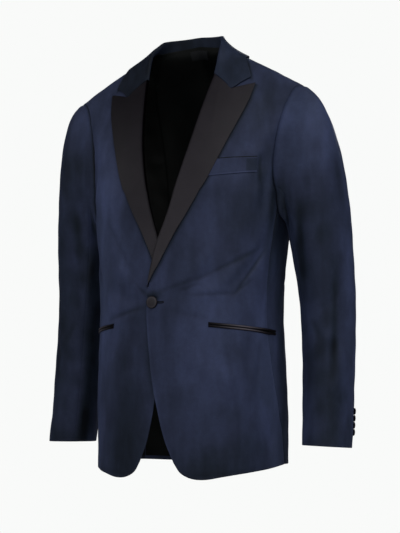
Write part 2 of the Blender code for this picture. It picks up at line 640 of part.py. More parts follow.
def build_lining(satin, tape, collection):
    """The lining, where it shows at the neck and between the fronts, and the plain label on it."""
    layers = lining_layers()
    wall("lining_back", *layers, satin, collection)
    inner = layers[1]
    middle, last = inner.shape[1] // 2, inner.shape[0] - 1
    width = LABEL_SIZE[0] / np.linalg.norm(inner[-2, middle + 1] - inner[-2, middle - 1])
    above = LABEL_SIZE[1] - LABEL_BELOW
    rows = np.array((
        last - 1 - LABEL_BELOW / np.linalg.norm(inner[-3, middle] - inner[-2, middle]),
        last - 1,
        last - 1 + above / np.linalg.norm(inner[-1, middle] - inner[-2, middle]),
    ))
    columns = middle + np.array((-1.0, 0.0, 1.0)) * width
    spots = between(inner, rows, columns)
    normal = grid_normals(spots)
    near, far = (spots - normal * depth for depth in (LABEL_GAP, LABEL_GAP + LINING_WALL))
    wall("neck_label", near, far, tape, collection)


# ---- sleeves ----------------------------------------------------------------------------------------
def sleeve_place(around, z):
    """A point of the hanging sleeve on the wearer's left."""
    section = table_at(sorted(SLEEVE), z)
    x, y, half_width, half_depth = (section[..., k] for k in range(4))
    angle = np.radians(around)
    out = np.stack([np.sin(angle), -np.cos(angle), 0 * angle], -1)
    place = np.stack([x + half_width * np.sin(angle), y - half_depth * np.cos(angle), z + 0 * angle], -1)
    height = folds_at(SLEEVE_FOLDS, around, z, sleeve_measure)
    return place + out * height[..., None]


def sleeve_grid(side):
    """The outer face of a whole sleeve, in rings from the armhole to the cuff."""
    start = np.arange(-90, 270, AROUND_STEP)
    front = start <= 90
    places = np.where(
        front[:, None], table_at(ARMHOLE_FRONT, np.minimum(start, 90)),
        table_at(ARMHOLE_BACK, np.maximum(start, 90)),
    )
    mirror = np.array((side, 1, 1))
    rim = cloth(places[:, 0], places[:, 1], side, 0) * mirror
    normal = torso_normal(places[:, 0] * side, places[:, 1]) * mirror
    tangent = unit(np.roll(rim, -1, axis=0) - np.roll(rim, 1, axis=0))
    away = unit(np.cross(tangent, normal))
    heading = table_at(HEADING, start)
    lean = np.radians(heading[:, 0])[:, None]
    direction = np.cos(lean) * away + np.sin(lean) * normal
    beside = smooth_step(*UNDERARM_LEANS, heading[:, 0])[:, None]
    first = rim + SEAM * ((1 - beside / 2) * away + UNDERARM_LIFT * beside * normal)

    seam_shift = np.interp(start, *zip(*SEAM_SHIFT))

    def around_at(share):
        return start + seam_shift * share * (BACK_SEAM_CUFF - BACK_SEAM_AROUND)

    last = sleeve_place(around_at(CAP_TURN_SHARE), np.full(len(start), SLEEVE_TOP_Z))
    below = sleeve_place(around_at(CAP_TURN_SHARE), np.full(len(start), SLEEVE_TOP_Z - HANG_STEP))
    pull_out = first + direction * heading[:, 1:2]
    pull_in = last + unit(last - below) * heading[:, 2:3]
    rings = []
    for t in np.linspace(0, 1, CAP_RINGS)[:-1] ** CAP_CROWDING:
        rings.append(
            first * (1 - t) ** 3 + 3 * pull_out * t * (1 - t) ** 2
            + 3 * pull_in * t * t * (1 - t) + last * t**3
        )
    for t in np.linspace(0, 1, ARM_RINGS):
        around = around_at(CAP_TURN_SHARE + (1 - CAP_TURN_SHARE) * t)
        cuff = CUFF_Z - CUFF_SLOPE * np.cos(np.radians(around - CUFF_LONGEST_AROUND)) * t
        rings.append(sleeve_place(around, SLEEVE_TOP_Z + (cuff - SLEEVE_TOP_Z) * t))
    return np.array(rings)


def ring_normals(rings):
    """The direction out of a tube of closed rings."""
    across = np.roll(rings, -1, axis=1) - np.roll(rings, 1, axis=1)
    along = np.gradient(rings, axis=0)
    return unit(np.cross(along, across))


def build_sleeves(velvet, collection):
    for side, word in ((1, "left"), (-1, "right")):
        outer = sleeve_grid(side)
        inner = outer - ring_normals(outer) * CLOTH
        first = (FRONT_SEAM_AROUND + 90) // AROUND_STEP
        last = (BACK_SEAM_AROUND + 90) // AROUND_STEP
        count = outer.shape[1]
        pieces = {"upper": range(first, last + 1), "under": range(last, count + first + 1)}
        arm_and_forearm = {
            "arm": (slice(0, ELBOW_RING + 1), ("top",)),
            "forearm": (slice(ELBOW_RING, None), ("bottom",)),
        }
        parted = {
            "under": arm_and_forearm,
            "upper": arm_and_forearm | {
                "head": (slice(0, HEAD_RING + 1), ("top",)),
                "arm": (slice(HEAD_RING, ELBOW_RING + 1), ("bottom", "top")),
            },
        }
        for piece, columns in pieces.items():
            columns = [column % count for column in columns]
            for part, (rings, parted_edges) in parted[piece].items():
                faces = []
                for layer in (outer, inner):
                    grid = allow(layer[:, columns], ("left", "right"), SLEEVE_ALLOWANCE)[rings]
                    grid = allow(grid, parted_edges, PARTING_GAP / 2) * (side, 1, 1)
                    faces.append(facing_out(grid[::-1], side))
                wall(f"sleeve_{word}_{piece}_{part}", *faces, velvet, collection)


# ---- lapels and collar --------------------------------------------------------------------------------
def thickened(middle, thickness):
    normal = grid_normals(middle)
    return middle + normal * thickness / 2, middle - normal * thickness / 2


def lapel_places():
    """The leaf of the lapel, from its roll to its outer edge and from the button to the gorge."""
    roll, edge = along_line(ROLL, LAPEL_ROWS + 1), along_line(LAPEL_EDGE, LAPEL_ROWS + 1)
    u = np.linspace(0, 1, LAPEL_LEAF + 1)[None, :, None]
    v = np.linspace(0, 1, LAPEL_ROWS + 1)[:, None, None]
    top = along_line(GORGE + (PEAK,), LAPEL_LEAF + 1)
    middle = LAPEL_LEAF // 2
    top[: middle + 1] = along_line(GORGE, middle + 1)
    top[middle:] = top[middle] + (np.array(PEAK) - top[middle]) * np.linspace(0, 1, middle + 1)[:, None]
    straight = roll[:, None] * (1 - u) + edge[:, None] * u
    return straight + (top - straight[-1])[None] * v**LAPEL_TOP_POWER


def lapel_middle(side):
    """The middle of the lapel's wall: the facing behind the front, the fold, then the leaf."""
    places = lapel_places()
    roll = places[:, 0]
    v = np.linspace(0, 1, LAPEL_ROWS + 1)
    lift = LAPEL_FOOT_LIFT + (COLLAR_LIFT - LAPEL_FOOT_LIFT) * smooth_step(0, LAPEL_FOOT, v)
    outside, inside = lift + SATIN / 2, -(CLOTH + FACING_GAP + SATIN / 2)
    radius, level = (outside - inside) / 2, (outside + inside) / 2
    mirror = np.array((side, 1, 1))
    base = cloth(roll[:, 0], roll[:, 1], side, level) * mirror
    normal = torso_normal(roll[:, 0] * side, roll[:, 1]) * mirror
    tangent = unit(np.gradient(base, axis=0))
    inward = unit(np.cross(normal, tangent))
    width = np.linalg.norm(
        torso(places[:, -1, 0], places[:, -1, 1]) - torso(roll[:, 0], roll[:, 1]), axis=1
    )
    columns = []
    facing = np.minimum(FACING_WIDTH, FACING_SHARE * width)
    for distance in (facing, (facing + radius) / 2):
        share = (distance / width)[:, None]
        place = roll * (1 - share) + (places[:, -1]) * share
        columns.append(cloth(place[:, 0], place[:, 1], side, inside) * mirror)
    centre = base - inward * radius[:, None]
    for angle in np.radians((180, 135, 90, 45, 0)):
        reach = math.cos(angle) * normal + math.sin(angle) * inward
        columns.append(centre + reach * radius[:, None])
    start = (radius / width)[:, None]
    notch = LAPEL_LEAF // 2
    for j in range(1, LAPEL_LEAF + 1):
        exact = start * LAPEL_LEAF + (notch - start * LAPEL_LEAF) * min(j / notch, 1) + max(j - notch, 0)
        low = np.clip(np.floor(exact).astype(int), 0, LAPEL_LEAF - 1)[:, 0]
        rows = np.arange(LAPEL_ROWS + 1)
        part = exact - low[:, None]
        place = places[rows, low] * (1 - part) + places[rows, low + 1] * part
        columns.append(cloth(place[:, 0], place[:, 1], side, outside) * mirror)
    return np.stack(columns, axis=1)


def build_lapels(satin, collection):
    for side, word in ((1, "left"), (-1, "right")):
        layers = []
        for layer in thickened(lapel_middle(side), SATIN):
            layers.append(facing_out(allow(layer, ("top",), GORGE_ALLOWANCE) * (side, 1, 1), side))
        wall(f"lapel_{word}", *layers, satin, collection)


def stand_frame(side):
    """The foot of the collar's stand at each row, with the ways up it and out of it, and its height."""
    back = along_line(BACK_NECK, NECK_BACK_STEPS + 1)[::-1]
    neck = np.concatenate([back, front_neckline()[::-1][1:]])
    base = cloth(neck[:, 0], neck[:, 1], side, -CLOTH / 2) * (side, 1, 1)
    run = unit(np.gradient(base, axis=0))
    run[0] = (1, 0, 0)
    crest = np.array(COLLAR_BACK + COLLAR_FRONT)[:, :3]
    crest[-1] = cloth(*ROLL[-1], side, -CLOTH / 2) * (side, 1, 1)
    stand = crest - base
    stand -= np.sum(stand * run, axis=1)[:, None] * run
    upward = unit(stand)
    return base, upward, np.cross(upward, run), np.linalg.norm(stand, axis=1)[:, None]


def collar_half(side):
    """The middle of one half of the collar's wall, from the centre back to the gorge."""
    edges = np.array(COLLAR_BACK + COLLAR_FRONT)[:, 3:]
    mirror = np.array((side, 1, 1))
    base, upward, outward, height = stand_frame(side)
    follow = np.concatenate([np.zeros(len(COLLAR_BACK)), GORGE_SHARES])[:, None]
    radius = FOLD_RADIUS + ((COLLAR_LIFT + CLOTH) / 2 - FOLD_RADIUS) * follow
    height = height - radius
    start = np.minimum(STAND_START, height * STAND_START_SHARE)
    columns = [base + upward * start, base + upward * (start + height) / 2]
    top = base + upward * height
    for angle in np.radians((0, 45, 90, 135, 180)):
        columns.append(top + outward * radius * (1 - math.cos(angle)) + upward * radius * math.sin(angle))
    edge = cloth(edges[:, 0], edges[:, 1], side, COLLAR_LIFT + CLOTH / 2) * mirror
    edge_normal = torso_normal(edges[:, 0] * side, edges[:, 1]) * mirror
    start = columns[-1]
    gap = start - edge
    gap = gap - np.sum(gap * edge_normal, axis=1)[:, None] * edge_normal
    distance = np.linalg.norm(gap, axis=1)[:, None]
    pull_out = start - upward * np.minimum(STAND_SPRING[0] * distance, STAND_SPRING[1])
    pull_in = edge + unit(gap) * FALL_REST * distance
    bend = np.concatenate([
        along_line(GORGE, FALL_STEPS - 1),
        [(np.array(GORGE[-1]) + COLLAR_POINT) / 2, COLLAR_POINT],
    ])
    for j in range(1, FALL_STEPS + 1):
        t = j / FALL_STEPS
        point = (
            start * (1 - t) ** 3 + 3 * pull_out * t * (1 - t) ** 2
            + 3 * pull_in * t * t * (1 - t) + edge * t**3
        )
        bent = cloth(bend[j, 0], bend[j, 1], side, COLLAR_LIFT + CLOTH / 2) * mirror
        columns.append(point * (1 - follow) + bent * follow)
    return np.stack(columns, axis=1)


def build_collar(velvet, collection):
    left = collar_half(1)[::-1]
    right = collar_half(-1) * (-1, 1, 1)
    middle = np.concatenate([left, right[1:]])
    layers = [allow(layer, ("bottom", "top"), GORGE_ALLOWANCE) for layer in thickened(middle, CLOTH)]
    wall("collar", *layers, velvet, collection)


# ---- pockets, buttons and label -------------------------------------------------------------------------
def strip_places(corners, across, upward):
    """A grid between four corners: bottom left, bottom right, top right and top left."""
    a, b, c, d = (np.array(corner, float) for corner in corners)
    u = np.linspace(0, 1, across + 1)[None, :, None]
    v = np.linspace(0, 1, upward + 1)[:, None, None]
    return (a * (1 - u) + b * u) * (1 - v) + (d * (1 - u) + c * u) * v


def laid_on(name, places, side, gap, thickness, finish, collection):
    """A strip that lies on a panel, made from the panel's own places moved out."""
    under = cloth(places[..., 0], places[..., 1], side, gap)
    over = cloth(places[..., 0], places[..., 1], side, gap + thickness)
    return wall(name, facing_out(over, side), facing_out(under, side), finish, collection)


def build_pockets(velvet, satin, collection):
    welt = strip_places(WELT_CORNERS, *WELT_GRID)
    laid_on("breast_welt", welt, 1, LAID_GAP, WELT_WALL, velvet, collection)
    span = CHEST_Z - HEM_Z
    for side, word in ((1, "left"), (-1, "right")):
        for piece, low, high in (("upper", SEAM / 2, JET_HEIGHT), ("lower", -JET_HEIGHT, -SEAM / 2)):
            levels = [(z - CHEST_Z) / span for z in POCKET_Z]
            corners = (
                (POCKET_TURNS[0], levels[0] + low / span), (POCKET_TURNS[1], levels[1] + low / span),
                (POCKET_TURNS[1], levels[1] + high / span), (POCKET_TURNS[0], levels[0] + high / span),
            )
            jet = strip_places(corners, *JET_GRID)
            laid_on(f"jet_{word}_{piece}", jet, side, LAID_GAP, JET_WALL, satin, collection)


def build_buttons(satin, collection):
    turn, level = BUTTON_PLACE
    place = cloth(turn, level, 1, BUTTON_GAP)
    facing = torso_normal(turn, level)
    size = (BUTTON_RADIUS, BUTTON_HEIGHT, BUTTON_STEPS)
    button("button_front", place, facing, *size, satin, collection)
    size = (CUFF_BUTTON_RADIUS, CUFF_BUTTON_HEIGHT, CUFF_BUTTON_STEPS)
    turn_step, rise = np.array(2.0), np.array(0.01)
    for side, word in ((1, "left"), (-1, "right")):
        for number in range(CUFF_BUTTONS):
            z = np.array(CUFF_BUTTON_FIRST_Z + number * (2 * CUFF_BUTTON_RADIUS + CUFF_BUTTON_SPACE))
            around = np.array(float(CUFF_BUTTON_AROUND))
            beside = sleeve_place(around + turn_step, z) - sleeve_place(around - turn_step, z)
            upward = sleeve_place(around, z + rise) - sleeve_place(around, z - rise)
            facing = unit(np.cross(beside, upward))
            place = (sleeve_place(around, z) + facing * BUTTON_GAP) * (side, 1, 1)
            name = f"cuff_button_{word}_{number + 1}"
            button(name, place, facing * (side, 1, 1), *size, satin, collection)


def main():
    for old in list(bpy.data.objects):
        bpy.data.objects.remove(old, do_unlink=True)
    jacket = bpy.data.collections.new("dinner_jacket")
    bpy.context.scene.collection.children.link(jacket)
    velvet = material("midnight velvet", VELVET_COLOUR, VELVET_ROUGHNESS, VELVET_SHEEN)
    satin = material("black satin", SATIN_COLOUR, SATIN_ROUGHNESS, 0.0)
    tape = material("black tape", TAPE_COLOUR, TAPE_ROUGHNESS, 0.0)
    build_body(velvet, jacket)
    build_sleeves(velvet, jacket)
    build_lapels(satin, jacket)
    build_collar(velvet, jacket)
    build_pockets(velvet, satin, jacket)
    build_buttons(satin, jacket)
    build_lining(satin, tape, jacket)


main()
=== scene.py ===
"""A single-breasted velvet dinner jacket with satin lapels, filled out as it is worn, with nobody in it.

The file is laid out as an add-on with one operator for each group of pieces, and runs as a script too.
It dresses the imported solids: every piece of cloth is made again, finer, on the same form and cutting
lines, and stands for its solid. The origin lies between the two neck points, +X is the wearer's left,
-Y the front and +Z up. All sizes are in metres and all turns in degrees.

A place on the body of the jacket is given by a turn, 0 at the front centre, 90 at the wearer's left
side and 180 at the back, and by a level, -1 at the hem, 0 at the chest line and 1 at the shoulder seam.
"""

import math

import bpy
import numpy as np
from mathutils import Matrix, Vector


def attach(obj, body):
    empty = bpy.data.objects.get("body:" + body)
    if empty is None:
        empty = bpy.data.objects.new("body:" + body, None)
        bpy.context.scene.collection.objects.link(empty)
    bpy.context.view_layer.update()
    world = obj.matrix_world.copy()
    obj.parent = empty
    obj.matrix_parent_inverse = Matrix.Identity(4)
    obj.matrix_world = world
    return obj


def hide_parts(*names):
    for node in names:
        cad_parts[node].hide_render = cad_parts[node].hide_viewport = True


bl_info = {
    "name": "Velvet Dinner Jacket",
    "version": (1, 0, 0),
    "blender": (4, 5, 0),
    "location": "View3D > Sidebar > Jacket",
    "description": "Makes a hollow velvet dinner jacket with satin peak lapels, piece by piece",
    "category": "Add Mesh",
}

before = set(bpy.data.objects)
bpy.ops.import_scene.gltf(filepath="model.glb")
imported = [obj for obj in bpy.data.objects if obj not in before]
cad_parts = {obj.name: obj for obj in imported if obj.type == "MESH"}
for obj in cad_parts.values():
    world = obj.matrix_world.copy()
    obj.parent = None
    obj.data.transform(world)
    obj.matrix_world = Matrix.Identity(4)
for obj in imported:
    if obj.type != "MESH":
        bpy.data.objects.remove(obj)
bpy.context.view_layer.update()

# ---- driving sizes ----
FINE = 6  # fine steps here between two points of the solids' grids
PANEL_FINE = 10  # the same, on the panels of the body
CLOTH = 0.0016  # wall of the velvet with its canvas
SATIN = 0.0014  # wall of the satin with its canvas
SEAM = 0.00004  # left between two pieces that a seam joins: their rounded edges meet
GORGE_ALLOWANCE = 0.00025  # taken off the lapel and off the collar where they meet
NECK_HALF = 0.083  # half the neck width, at the shoulder seam
NECK_RISE = 0.010  # the neck point above the origin
SHOULDER_HALF = 0.2275  # half the width from shoulder point to shoulder point
SHOULDER_DROP = 0.078  # the shoulder point below the neck point
SHOULDER_ROUND = 0.14  # how far the shoulder seam bows up between its ends
NECK_LEVEL = 0.40  # of the shoulder's slope, inside the neck
SEAM_Y = -0.002  # depth of the shoulder seam at the neck point
SEAM_FORWARD = 0.008  # the shoulder point lies this far forward of the neck point
CHEST_Z = -0.255  # chest line, just above the bottom of the armholes
HEM_Z = -0.755  # lowest line of the torso form
UPPER_SPREAD = 0.30  # how much wider the form is at the shoulder seam than at the chest line
ROUND_FRONT = 1.34  # exponent of the front's curve from the chest to the shoulder seam
ROUND_BACK = 2.15
ROUND_RIDGE = 2.0  # both curves turn to this exponent close to the seam
RIDGE_POWER = 16  # how close to the seam they turn
SQUARE_FRONT = 2.20  # exponent of the front half of a section, 2 is an ellipse
SQUARE_BACK = 2.50
WAIST_OVERLAP = 0.0040  # the left front stands this far out, and the right one in, at the button
HEM_OVERLAP = 0.0014
OVERLAP_LEVELS = (-0.02, -0.17, -0.42, -0.60)  # it starts, is full, starts to fade, is the hem's
OVERLAP_TURNS = (9.0, 40.0)  # it fades out between these turns

# horizontal sections of the worn jacket, from the hem to the chest line: z, half width, front and back
TORSO = (
    (-0.780, 0.172, 0.141, 0.133),
    (-0.700, 0.173, 0.143, 0.132),
    (-0.620, 0.173, 0.146, 0.126),
    (-0.540, 0.171, 0.146, 0.116),
    (-0.460, 0.169, 0.143, 0.107),
    (-0.380, 0.174, 0.138, 0.110),
    (-0.310, 0.182, 0.131, 0.118),
    (-0.255, 0.187, 0.126, 0.122),
)

# ---- cutting lines, on the wearer's left ----
LINE_STEPS = 40  # fine steps for each row of a line, where it is measured
ACROSS_STEP = 0.5  # of turn, that measures the cloth's width at a place
EVENING_ROUNDS = 24  # times that the inner points of a panel's grid are evened out
# each row of a line is a turn and a level
CUTAWAY = (  # front edge, from the round of the hem up to the end of the lapel
    (9.5, -0.940), (5.0, -0.870), (1.6, -0.780), (-1.4, -0.650),
    (-3.2, -0.540), (-4.4, -0.440), (-4.7, -0.350),
)
ROLL = (  # the fold of the lapel, from the button up to the gorge
    (-4.7, -0.333), (-2.2, -0.251), (0.3, -0.165), (3.0, -0.099), (5.8, -0.017), (7.4, 0.050),
    (9.6, 0.172), (11.5, 0.295), (12.9, 0.420), (14.0, 0.560), (14.8, 0.690), (15.3, 0.805),
)
LAPEL_EDGE = (  # from the button up to the tip of the peak
    (-3.2, -0.318), (4.2, -0.214), (9.8, -0.137), (15.2, -0.070), (22.9, 0.040), (29.0, 0.210),
    (34.0, 0.400), (37.2, 0.570), (38.2, 0.695), (37.6, 0.832),
)
GORGE = ((15.3, 0.805), (20.5, 0.770), (26.3, 0.728))  # seam of lapel and collar, to the notch
PEAK = (37.6, 0.832)
COLLAR_POINT = (33.8, 0.861)
HEM = (
    (9.5, -0.940), (13.5, -0.975), (20.0, -0.994), (28.5, -0.997), (40.0, -0.987), (57.0, -0.975),
    (77.0, -0.964), (96.0, -0.954), (127.0, -0.957), (155.0, -0.962), (180.0, -0.965),
)
FRONT_SEAM = (  # between the front and the side panel, from the hem up to the armhole
    (96.0, -0.954), (93.5, -0.902), (90.6, -0.816), (86.3, -0.732), (81.5, -0.636),
    (78.0, -0.536), (76.2, -0.420), (75.8, -0.280), (76.6, -0.140), (78.5, -0.052),
)
BACK_SEAM = (  # between the side panel and the back
    (127.0, -0.957), (127.6, -0.800), (127.4, -0.600), (125.6, -0.400), (121.5, -0.200),
    (115.5, 0.000), (109.5, 0.150),
)
FRONT_NECK = ((15.3, 0.805), (15.7, 0.885), (16.6, 0.952), (17.9, 1.0))
BACK_NECK = ((164.9, 1.0), (165.7, 0.9948), (167.6, 0.988), (172.0, 0.976), (180.0, 0.962))

# angle around the sleeve (0 front, 90 top, 180 back), turn and level
ARMHOLE_FRONT = (
    (-90, 92.0, -0.082), (-54, 78.5, -0.052), (-36, 73.8, 0.040), (-18, 70.0, 0.200),
    (0, 67.2, 0.420), (18, 64.6, 0.620), (36, 62.4, 0.800), (54, 61.6, 0.910),
    (72, 63.0, 0.972), (90, 66.5, 1.0),
)
ARMHOLE_BACK = (
    (90, 115.0, 1.0), (108, 118.4, 0.978), (126, 118.6, 0.925), (144, 117.4, 0.830),
    (162, 116.2, 0.660), (180, 114.2, 0.480), (198, 112.2, 0.310), (216, 109.5, 0.150),
    (234, 105.0, 0.020), (252, 99.5, -0.055), (270, 92.0, -0.082),
)

# ---- sleeves ----
# sections of the hanging sleeve, from the upper arm to the cuff: z, x, y, half width and half depth
SLEEVE = (
    (-0.340, 0.2385, 0.034, 0.0545, 0.0630),
    (-0.400, 0.2445, 0.037, 0.0510, 0.0575),
    (-0.470, 0.2495, 0.037, 0.0480, 0.0535),
    (-0.540, 0.2520, 0.033, 0.0460, 0.0510),
    (-0.620, 0.2540, 0.023, 0.0445, 0.0485),
    (-0.705, 0.2560, 0.010, 0.0430, 0.0465),
)
SLEEVE_TOP_Z = -0.340
CAP_TURN_SHARE = 0.25  # of the back seam's way round to the cuff, at the top of the table
CAP_CROWDING = 1.15  # the cap's rings crowd towards the armhole
CUFF_Z = -0.699
CUFF_SLOPE = 0.003  # the cuff is this much longer at its back
CUFF_LONGEST_AROUND = 150
HANG_STEP = 0.01  # down the sleeve, that finds the way it hangs
AROUND_STEP = 18  # between two points round the sleeve and round the armhole
TOP_AROUND, UNDERARM_AROUND = 90, -90  # at the shoulder seam, and below the arm
FRONT_SEAM_AROUND = -36
BACK_SEAM_AROUND = 162  # at the armhole
BACK_SEAM_CUFF = 126  # at the cuff, where the buttons sit
# how far the points at an angle go with the back seam as it turns to the cuff: angle and share
SEAM_SHIFT = (
    (-90, 0.5), (FRONT_SEAM_AROUND, 0.0), (BACK_SEAM_AROUND, 1.0), (270, 0.5),
)
# how the sleeve leaves the armhole: angle, lean off the body's cloth, and its pulls at start and end
HEADING = (
    (-90, 158.0, 0.006, 0.020),
    (-54, 128.0, 0.016, 0.050),
    (-18, 72.0, 0.034, 0.110),
    (18, 40.0, 0.046, 0.150),
    (54, 14.0, 0.054, 0.180),
    (90, 8.0, 0.058, 0.190),
    (126, 16.0, 0.050, 0.180),
    (162, 34.0, 0.044, 0.150),
    (198, 66.0, 0.034, 0.110),
    (234, 118.0, 0.016, 0.050),
    (270, 158.0, 0.006, 0.020),
)
UNDERARM_LEANS = (60, 130)  # past these leans the sleeve starts beside the body, not on its edge
UNDERARM_LIFT = 0.0009
HEAD_EVENING = 3  # times that the sleeve's ways out of the armhole are evened with their neighbours'
CAP_RINGS = 9
ARM_RINGS = 15

# ---- lapels, collar, pockets and buttons ----
FOLD_STEPS = 12  # round the fold of a lapel
FACING_STEPS = 8
FOLD_RADIUS = 0.0029  # of the lapel's roll, to the middle of its wall
FACING_WIDTH = 0.014  # of the lapel's cloth behind the front
FACING_SHARE = 0.75  # or this much of the lapel's own width, where that is narrower
FACING_GAP = 0.0012  # between the front and the lapel's cloth behind it
PANEL_SETBACK = 0.0042  # the front's own edge behind the fold of the lapel
LAPEL_FOOT_LIFT = 0.0008  # under the lapel where it starts, at the button
LAPEL_FOOT = 0.3  # of its height until it has the collar's lift
LAPEL_TOP_POWER = 4  # how quickly its rows turn to the gorge's line
LAPEL_ROWS = 20 * FINE  # steps up a lapel
LAPEL_LEAF = 6 * FINE  # steps across its leaf
# x, y and z of the collar's crest, which is the top of its roll, and turn and level of its outer edge
COLLAR_BACK = (  # from the centre back to the neck point
    (0.0000, 0.0310, 0.0490, 180.0, 0.918),
    (0.0165, 0.0290, 0.0480, 173.0, 0.930),
    (0.0315, 0.0235, 0.0460, 167.5, 0.945),
    (0.0440, 0.0140, 0.0425, 162.5, 0.965),
    (0.0550, 0.0015, 0.0365, 159.5, 0.985),
    (0.0625, -0.0115, 0.0275, 158.0, 0.998),
)
COLLAR_FRONT = (  # from past the neck point to the gorge, where the roll is the lapel's own
    (0.0665, -0.0215, 0.0150, 26.6, 0.984),
    (0.0680, -0.0300, -0.0010, 29.2, 0.952),
    (0.0675, -0.0365, -0.0190, 31.6, 0.910),
    (0.0650, -0.0440, -0.0405, 33.8, 0.858),
)
GORGE_SHARES = (0.0, 0.08, 0.35, 1.0)  # how far each front row follows the gorge and the lapel's roll
STAND_START = 0.0011  # from the neckline up to the lower edge of the collar's stand
STAND_START_SHARE = 1 / 3  # or this share of the stand, where it is low
STAND_SPRING = (0.45, 0.020)  # how long the fall keeps the stand's line, of its width and at most
FALL_REST = 0.50  # how long the fall lies flat at its edge, of its width
FALL_STEPS = 5
COLLAR_LIFT = 0.0022  # under the outer edge of the collar and the lapels
WELT_CORNERS = ((22.5, 0.092), (56.5, 0.145), (55.0, 0.262), (24.0, 0.205))  # from the bottom left round
LAID_GAP = 0.0004  # between a strip and the panel it lies on
WELT_WALL = 0.0012
POCKET_TURNS = (31.0, 86.0)  # of a side pocket's two ends
POCKET_Z = (-0.4885, -0.5005)  # and their heights
JET_HEIGHT = 0.0042
BUTTON_PLACE = (-1.2, -0.389)  # turn and level
BUTTON_RADIUS = 0.0110
BUTTON_HEIGHT = 0.0044
BUTTON_RIM = 0.35  # height of a button's widest line, of its own height
BUTTON_FOOT = 0.86  # radius of its back, of its own radius
BUTTON_GAP = 0.0005  # between a button and the cloth
CUFF_BUTTON_SPACE = 0.0003  # between two of them
CUFF_BUTTON_RADIUS = 0.0059
CUFF_BUTTON_HEIGHT = 0.0036
CUFF_BUTTON_AROUND = 114
CUFF_BUTTON_FIRST_Z = -0.6745
CUFF_BUTTONS = 4
LINING_DEPTH = 0.0031  # the lining's outer face, behind the outer face of the back
LINING_WALL = 0.0010
LABEL_SIZE = (0.034, 0.019)
LABEL_GAP = 0.0009
LABEL_BELOW = 0.0030  # of the label below the neckline
LINING_RISE = 0.0165  # of the lining up the collar's stand

# ---- folds ----
TURN_LENGTH = 0.0029  # one degree of turn, along the cloth
UPPER_LENGTH = 0.30  # one level above the chest line, along the cloth
AROUND_LENGTH = 0.00087  # one degree round the sleeve
FOLD_START = (-0.12, 0.30)  # a fold starts and is full at these shares of its length
FOLD_END = (0.70, 1.12)  # and here it starts to fade and is gone
FOLD_FADE = (1.0, 9.0)  # degrees past the lapel's edge where the folds start and are full
# from turn and level, to turn and level, half width and height; troughs are negative
BODY_FOLDS = (
    (6, -0.360, 34, -0.190, 0.012, 0.0028),
    (8, -0.395, 36, -0.255, 0.011, -0.0030),
    (24, -0.385, 60, -0.230, 0.012, 0.0026),
    (44, -0.350, 74, -0.160, 0.013, -0.0032),
    (14, -0.560, 48, -0.700, 0.018, 0.0022),
    (66, -0.080, 61, 0.320, 0.012, -0.0028),
    (-8, -0.350, -30, -0.250, 0.011, 0.0022),
    (-9, -0.395, -38, -0.330, 0.012, -0.0026),
    (-44, -0.350, -72, -0.170, 0.013, -0.0028),
    (-66, -0.080, -61, 0.320, 0.012, -0.0028),
    (112, -0.420, 140, -0.260, 0.015, -0.0030),
    (-108, -0.400, -138, -0.270, 0.015, -0.0028),
    (120, -0.560, 150, -0.430, 0.018, 0.0022),
    (-122, -0.540, -152, -0.440, 0.018, 0.0022),
    (128, 0.060, 124, 0.560, 0.018, -0.0034),
    (-128, 0.060, -124, 0.560, 0.018, -0.0034),
)
FINE_BODY_FOLDS = (  # small creases that the solids leave out
    (2, -0.352, 32, -0.290, 0.0042, -0.0011),
    (28, -0.296, 66, -0.198, 0.0042, -0.0012),
    (18, -0.366, 50, -0.358, 0.0032, -0.0012),
    (22, -0.352, 48, -0.345, 0.0050, 0.0008),
    (48, -0.359, 62, -0.305, 0.0034, -0.0011),
    (46, -0.372, 71, -0.205, 0.0036, -0.0014),
    (12, -0.352, 24, -0.325, 0.0030, -0.0009),
    (10, -0.420, 34, -0.455, 0.0060, -0.0006),
    (-6, -0.364, 2, -0.376, 0.0030, -0.0014),
    (-6, -0.362, -15, -0.312, 0.0036, -0.0012),
    (-9, -0.350, -20, -0.262, 0.0060, 0.0008),
    (-5, -0.400, -38, -0.446, 0.0044, -0.0012),
    (-8, -0.424, -36, -0.474, 0.0060, 0.0007),
    (-13, -0.310, -38, -0.090, 0.0060, -0.0009),
    (-16, -0.470, -22, -0.640, 0.0120, -0.0012),
    (41, -0.515, 46, -0.640, 0.0060, -0.0008),
    (52, -0.560, 55, -0.700, 0.0070, 0.0008),
    (70, -0.520, 64, -0.680, 0.0060, -0.0009),
    (-34, -0.520, -38, -0.700, 0.0070, 0.0008),
    (60, 0.060, 57, 0.300, 0.0050, -0.0010),
    (-60, 0.060, -57, 0.300, 0.0050, -0.0010),
    (100, -0.330, 126, -0.270, 0.0060, -0.0011),
    (-100, -0.330, -126, -0.270, 0.0060, -0.0011),
    (130, -0.300, 168, -0.385, 0.0060, -0.0012),
    (-132, -0.320, -166, -0.370, 0.0060, -0.0011),
    (150, -0.440, 176, -0.400, 0.0070, 0.0009),
    (-146, -0.470, -175, -0.430, 0.0070, 0.0009),
    (140, 0.300, 166, 0.380, 0.0080, -0.0010),
    (-142, 0.330, -164, 0.390, 0.0080, -0.0010),
)
CREASE_PAINTED_SHADE = 300.0  # painted shade in a crease, for each metre of its depth
RIPPLE = 0.00022  # the cloth's own unevenness, from crossing waves
RIPPLE_WAVES = ((0.061, 0.190, 0.4), (0.043, -0.117, 2.1), (-0.137, 0.049, 4.0))  # across, along, start
